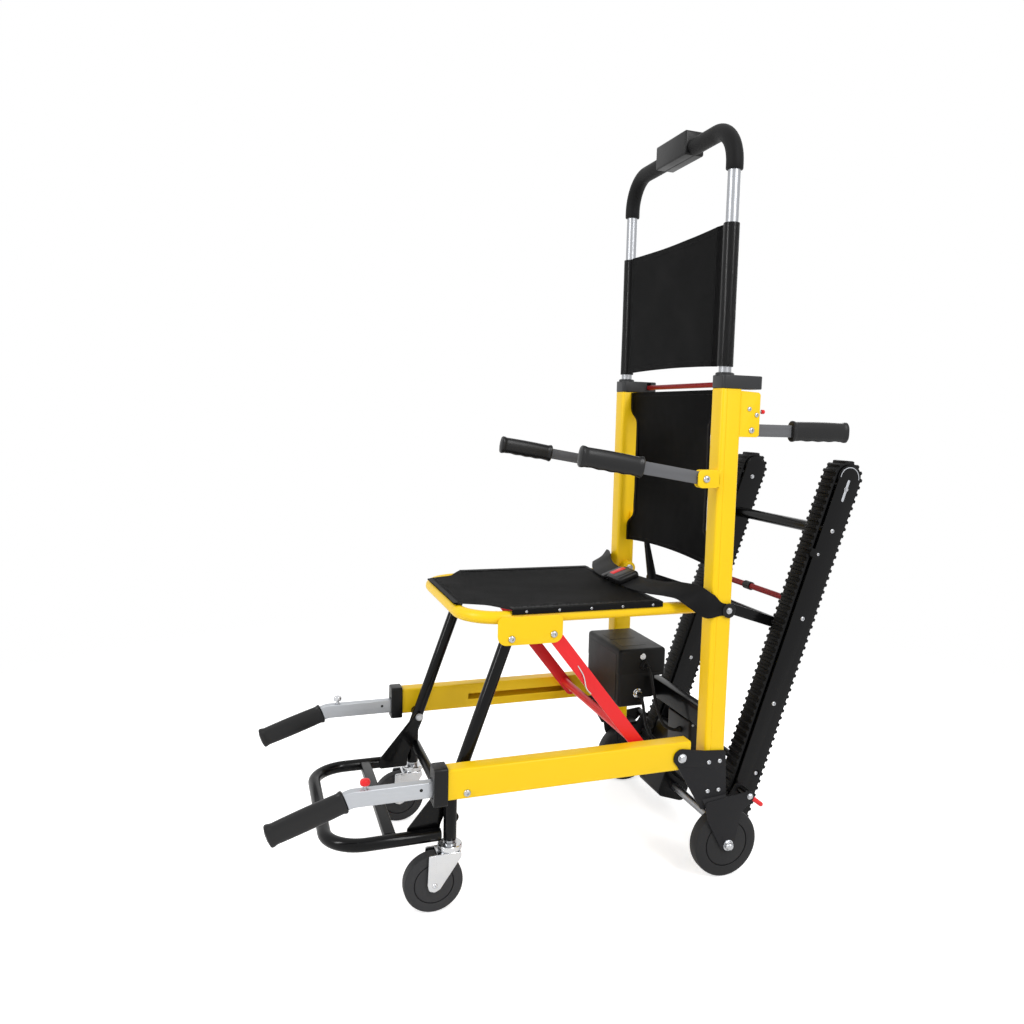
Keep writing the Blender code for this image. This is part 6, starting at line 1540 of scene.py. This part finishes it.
ear = link(BEAM_PIVOT, (0.004, 0.2235), 0.016, 14)
upper = [(-0.022, 0.135), (0.030, 0.135), (0.024, 0.240), (-0.0645, 0.2475), (-0.0757, 0.2259)]
upper = rounded(upper, (0.004, 0.004, 0.005, 0.004, 0.004))
y, z = WHEEL_POINT
lower = [(-0.017, 0.150), (0.079, 0.160), (0.086, 0.146), (0.058, 0.122), (y + 0.0141, z + 0.0025)]
lower += [(y + 0.0066, 0.050), (y - 0.0064, 0.050), (y - 0.0149, z - 0.0035), (-0.010, 0.112)]
lower = rounded(lower, (0.006, 0.008, 0.008, 0.012, 0.010, 0.005, 0.005, 0.008, 0.015))
CRANK_ENDS = ((TOP_X, (-0.020, 0.153), (0.028, 0.157)), (LOW_X, (-0.015, 0.140), (0.033, 0.144)))
CRANK = [[(x[0], *front), (x[1], *front), (x[1], *rear), (x[0], *rear)] for x, front, rear in CRANK_ENDS]
inside = [(0.004, 0.140), (0.054, 0.140), (0.067, 0.160), (0.086, 0.156), (0.084, 0.064)]
inside += [(0.078, 0.040), (y - 0.010, 0.046), (y - 0.020, z + 0.012)]
inside = rounded(inside, 0.006)
for side, sign in SIDES.items():
    shapes = [
        plate([upper], "YZ", pair(sign, *TOP_X), 0.0006),
        plate([ear], "YZ", pair(sign, TOP_X[0], TOP_X[1] + 0.0006), 0.0008),
        loft([[(sign * x, y, z) for x, y, z in ring] for ring in CRANK]),
        plate([lower], "YZ", pair(sign, *LOW_X), 0.0006),
        block(pair(sign, INNER_X[0], LOW_X[1] - 0.001), (0.004, 0.054), (0.134, 0.140), 0.001),
        plate([inside], "YZ", pair(sign, *INNER_X), 0.0006),
    ]
    piece(f"wheel_bracket_{side}_plates", "frame", SATIN_BLACK, shapes, [f"wheel_bracket_{side}"])
    away = (sign, 0, 0)
    bolts = [hex_bolt((sign * (TOP_X[1] + 0.0006), *BEAM_PIVOT), away, 0.0062)]
    for point in PLATE_SCREWS:
        bolts.append(pan_head((sign * TOP_X[1], *point), away, 0.0042))
    bolts += [rod(pair(sign, 0.1972, 0.229), BEAM_PIVOT, 0.006)]
    bolts += [rod(pair(sign, 0.2015, 0.241), WHEEL_POINT, 0.006)]
    bolts += [acorn_nut((sign * LOW_X[1], *WHEEL_POINT), away, 0.0078)]
    bolts += [rod(pair(sign, 0.2025, 0.2385), PEDAL_PIVOT, 0.004)]
    bolts += [hex_bolt((sign * LOW_X[1], *PEDAL_PIVOT), away, 0.0042)]
    piece(f"wheel_bracket_{side}_bolts", "frame", ZINC, bolts)
print("two wheel brackets")

# %% Rear wheels and brake pedals
REAR_TYRE = [(0.0100, 0.0406), (0.0100, 0.0422), (0.0135, 0.0423), (0.0138, 0.0427)]
REAR_TYRE += [(0.0138, 0.0568), (0.0130, 0.0602), (0.0110, 0.0624), (0.007, 0.0633), (0.0, 0.0635)]
REAR_DISC = [(0.0136, 0.0063), (0.0136, 0.0399), (0.0133, 0.0405), (0.0095, 0.0407)]
for side, sign in SIDES.items():
    centre = (sign * WHEEL_X, *WHEEL_POINT)
    body = f"rear_wheel_{side}"
    tyre = turned(both_sides(REAR_TYRE), centre, (1, 0, 0), 80, loop=True)
    piece(f"{body}_tyre", body, TYRE, [tyre], [body])
    disc = turned(both_sides(REAR_DISC), centre, (1, 0, 0), 80, loop=True)
    piece(f"{body}_disc", body, TYRE, [disc])
    corners = [(-PEDAL_HALF, PEDAL_PIVOT), (-PEDAL_HALF, PEDAL_TIP)]
    corners += [(PEDAL_HALF, PEDAL_TIP), (PEDAL_HALF, PEDAL_PIVOT)]
    bow = rounded([(sign * WHEEL_X + x, *point) for x, point in corners], 0.008, 8, closed=False)
    piece(f"brake_pedal_{side}_bow", f"brake_{side}", RED, [tube(bow, 0.0043, 16)], [f"brake_pedal_{side}"])
    sleeve_on_pin = bush((sign * WHEEL_X, *PEDAL_PIVOT), 0.012, 0.0043, 0.008, 0.0006, 36)
    piece(f"brake_pedal_{side}_bush", f"brake_{side}", BLACK, [sleeve_on_pin])
print("two rear wheels and pedals")

# %% [markdown]
# The tracks are rubber belts with cross teeth round two rollers, between long black plates. They lean back
# behind the chair and swing out for stairs. The tooth row is laid out along the belt's pitch line, straight
# runs and half turns alike, so the teeth stay even all round.

# %% Track belts
TRACK_LEAN, TRACK_LENGTH, TRACK_X = math.radians(18.6), 0.712, 0.163
BELT_HALF, BELT_INNER, BELT_CARCASS, TOOTH_PITCH = 0.019, 0.026, 0.030, 0.0142
TOOTH = [(0.0, 0.0), (0.40, 0.0), (0.46, 0.0008), (0.53, 0.0034)]
TOOTH += [(0.57, 0.004), (0.85, 0.004), (0.89, 0.0034), (0.96, 0.0008)]


def on_track(u, v):
    """A (y, z) point at u along the leaning tracks and v behind their middle plane."""
    y = TRACK_PIVOT[0] + u * math.sin(TRACK_LEAN) + v * math.cos(TRACK_LEAN)
    return (y, TRACK_PIVOT[1] + u * math.cos(TRACK_LEAN) - v * math.sin(TRACK_LEAN))


def track_loop(distance, radius):
    """The (u, v) point at a distance along the belt's pitch line, out at a radius."""
    half_turn = math.pi * BELT_CARCASS
    if distance < TRACK_LENGTH:
        return (distance, radius)
    distance -= TRACK_LENGTH
    if distance < half_turn:
        angle = distance / BELT_CARCASS
        return (TRACK_LENGTH + radius * math.sin(angle), radius * math.cos(angle))
    distance -= half_turn
    if distance < TRACK_LENGTH:
        return (TRACK_LENGTH - distance, -radius)
    angle = (distance - TRACK_LENGTH) / BELT_CARCASS
    return (-radius * math.sin(angle), -radius * math.cos(angle))


loop_length = 2 * TRACK_LENGTH + 2 * math.pi * BELT_CARCASS
teeth = round(loop_length / TOOTH_PITCH)
pitch = loop_length / teeth
toothed = []
for tooth in range(teeth):
    for part_way, height in TOOTH:
        toothed.append(on_track(*track_loop((tooth + part_way) * pitch, BELT_CARCASS + height)))
TRACK_ENDS = (on_track(0.0, 0.0), on_track(TRACK_LENGTH, 0.0))
inner_loop = link(*TRACK_ENDS, BELT_INNER, 24)
for side, sign in SIDES.items():
    belt = plate([toothed, inner_loop], "YZ", pair(sign, TRACK_X - BELT_HALF, TRACK_X + BELT_HALF), 0.0004, 1)
    piece(f"track_belt_{side}_loop", "track", TRACK_RUBBER, [belt], [f"track_belt_{side}"])
print(f"two belts of {teeth} teeth")

# %% Track frames
PLATE_HALF, ROLLER_RADIUS, SHAFT_BORE = 0.023, 0.0252, 0.0083
NEAR_PLATES = ((0.139, 0.142), (0.184, 0.187))
INLAY_X = (0.1868, 0.1874)
CLIP = ((-0.008, -0.032), (0.008, -0.032), (0.006, -0.010), (-0.006, -0.010))
bore = hole(TRACK_PIVOT, SHAFT_BORE, 32)
shapes, bolts, pale = [], [], []
ARC_TURNS = [math.radians(-100 + 10 * step) for step in range(19)]
ARC = [(0.0218, turn) for turn in ARC_TURNS] + [(0.0202, turn) for turn in reversed(ARC_TURNS)]
for sign in SIDES.values():
    for low, high in NEAR_PLATES:
        shapes.append(plate([link(*TRACK_ENDS, PLATE_HALF, 20), bore], "YZ", pair(sign, low, high), 0.0007))
    shapes.append(rod(pair(sign, 0.1405, 0.1855), TRACK_ENDS[1], ROLLER_RADIUS, 0.0006, 48))
    roller = [(0.1405, SHAFT_BORE), (0.1405, ROLLER_RADIUS), (0.1855, ROLLER_RADIUS), (0.1855, SHAFT_BORE)]
    shapes.append(turned(roller, (0, *TRACK_PIVOT), (sign, 0, 0), 48, loop=True))
    for way, face in ((1, 0.187), (-1, 0.139)):
        out = (sign * way, 0, 0)
        bolts.append(hex_bolt((sign * face, *on_track(0.690, 0)), out, 0.0034))
        bolts += [pan_head((sign * face, *on_track(u, 0.0)), out, 0.0046) for u in (0.606, 0.43, 0.26)]
        bolts += [pan_head((sign * face, *on_track(0.124, 0.012)), out, 0.004)]
    for u in (0.555, 0.055):
        clip = rounded([on_track(u + along, v) for along, v in CLIP], 0.003)
        shapes.append(plate([clip], "YZ", pair(sign, 0.1865, 0.1890), 0.0006))
        bolts.append(pan_head((sign * 0.1890, *on_track(u, -0.015)), (sign, 0, 0), 0.003))
    arc = [on_track(TRACK_LENGTH + ring * math.cos(turn), ring * math.sin(turn)) for ring, turn in ARC]
    groove = link(on_track(0.668, 0), on_track(0.706, 0), 0.0028, 8)
    pale += [plate([inlay], "YZ", pair(sign, *INLAY_X), 0.0002, 1) for inlay in (arc, groove)]
shapes.append(rod((-0.185, 0.185), on_track(0.606, 0.0), 0.011))
shapes.append(rod((-0.187, 0.187), on_track(0.124, 0.015), 0.007))
piece("track_frame_plates", "track", BLACK, shapes, ["track_frame"])
piece("track_frame_bolts", "track", ZINC, bolts)
piece("track_tension_slots", "track", ALUMINIUM, pale)
print("track frames")

# %% [markdown]
# The motor lies between the tracks with its gearbox beside it, and turns the drive shaft. The motor's shell
# is a turned can with a band at each end and an end bell, the gearbox a cast block with a bolted lid.

# %% Motor, gearbox and shaft
MOTOR_POINT = on_track(0.060, 0.0)
MOTOR_CAN = [(-0.037, 0.036), (-0.035, 0.039), (-0.028, 0.039), (-0.0275, 0.0378), (0.100, 0.0378)]
MOTOR_CAN += [(0.1005, 0.039), (0.112, 0.039), (0.121, 0.036), (0.124, 0.028), (0.124, 0.0002)]


def gearbox_outline(inset, corner):
    """The gearbox seen from the side, drawn in by an inset."""
    low, high, half = -0.028 + inset, 0.1167 - inset, 0.034 - inset
    corners = ((low, -half), (high, -half), (high, half), (low, half))
    return rounded([on_track(u, v) for u, v in corners], corner)


gearbox = plate([gearbox_outline(0.0, 0.012), bore], "YZ", (-0.132, -0.035), 0.002, 3)
can = turned(MOTOR_CAN, (0, *MOTOR_POINT), (1, 0, 0), 64)
can = carved(can, rod((-0.2, 0.2), TRACK_PIVOT, SHAFT_BORE, 0.0002, 32))
lid = plate([gearbox_outline(0.004, 0.010), bore], "YZ", (-0.1345, -0.131), 0.0008)
piece("drive_motor_castings", "track", BLACK, [gearbox, can, lid], ["drive_motor"])
places = [on_track(u, v) for u in (-0.016, 0.105) for v in (-0.022, 0.022)]
bolts = [pan_head((-0.1345, *point), (-1, 0, 0), 0.003) for point in places]
for turn in (0.6, 3.74):
    y, z = MOTOR_POINT[0] + 0.024 * math.cos(turn), MOTOR_POINT[1] + 0.024 * math.sin(turn)
    bolts.append(pan_head((0.1225, y, z), (1, 0, 0), 0.0026))
piece("drive_motor_bolts", "track", ZINC, bolts)
shaft = rod((-0.2002, 0.2002), TRACK_PIVOT, 0.008, 0.001, 32)
piece("drive_shaft_rod", "shaft", TUBE_METAL, [shaft], ["drive_shaft"])
print("motor, gearbox and shaft")

# %% [markdown]
# The strut swings from the middle cross bar and holds the tracks out. Its arms are bent flat bars. The red
# bar across its end is pushed by foot or hand to fold the tracks in, and a black clip sits at its middle.

# %% Strut and push bar
STRUT_FAR, PUSH_POINT, STRUT_HALF = (0.190, 0.440), (0.203, 0.490), 0.010
shapes, bolts = [], []
for sign in SIDES.values():
    across = pair(sign, 0.131, 0.135)
    arm = link(STRUT_PIVOT, STRUT_FAR, STRUT_HALF)
    shapes.append(plate([arm, hole(STRUT_PIVOT, 0.0055)], "YZ", across, 0.0006))
    shapes.append(plate([link(STRUT_FAR, PUSH_POINT, STRUT_HALF)], "YZ", across, 0.00058))
    bolts.append(pan_head((sign * 0.135, *PUSH_POINT), (sign, 0, 0), 0.005))
shapes.append(rod((-0.1387, 0.1387), STRUT_FAR, STRUT_HALF))
piece("track_strut_arms", "strut", BLACK, shapes, ["track_strut"])
piece("track_strut_bolts", "strut", ZINC, bolts)
piece("push_bar_rod", "strut", DARK_RED, [rod((-0.1307, 0.1307), PUSH_POINT, 0.006, 0.001)], ["push_bar"])
clip = [(-0.012, 0.0062), (-0.012, 0.0078), (-0.011, 0.0086)]
clip += [(-d, r) for d, r in reversed(clip)]
piece("push_bar_clip", "strut", PLASTIC, [turned(clip, (0, *PUSH_POINT), (1, 0, 0), 32, loop=True)])
print("strut and push bar")
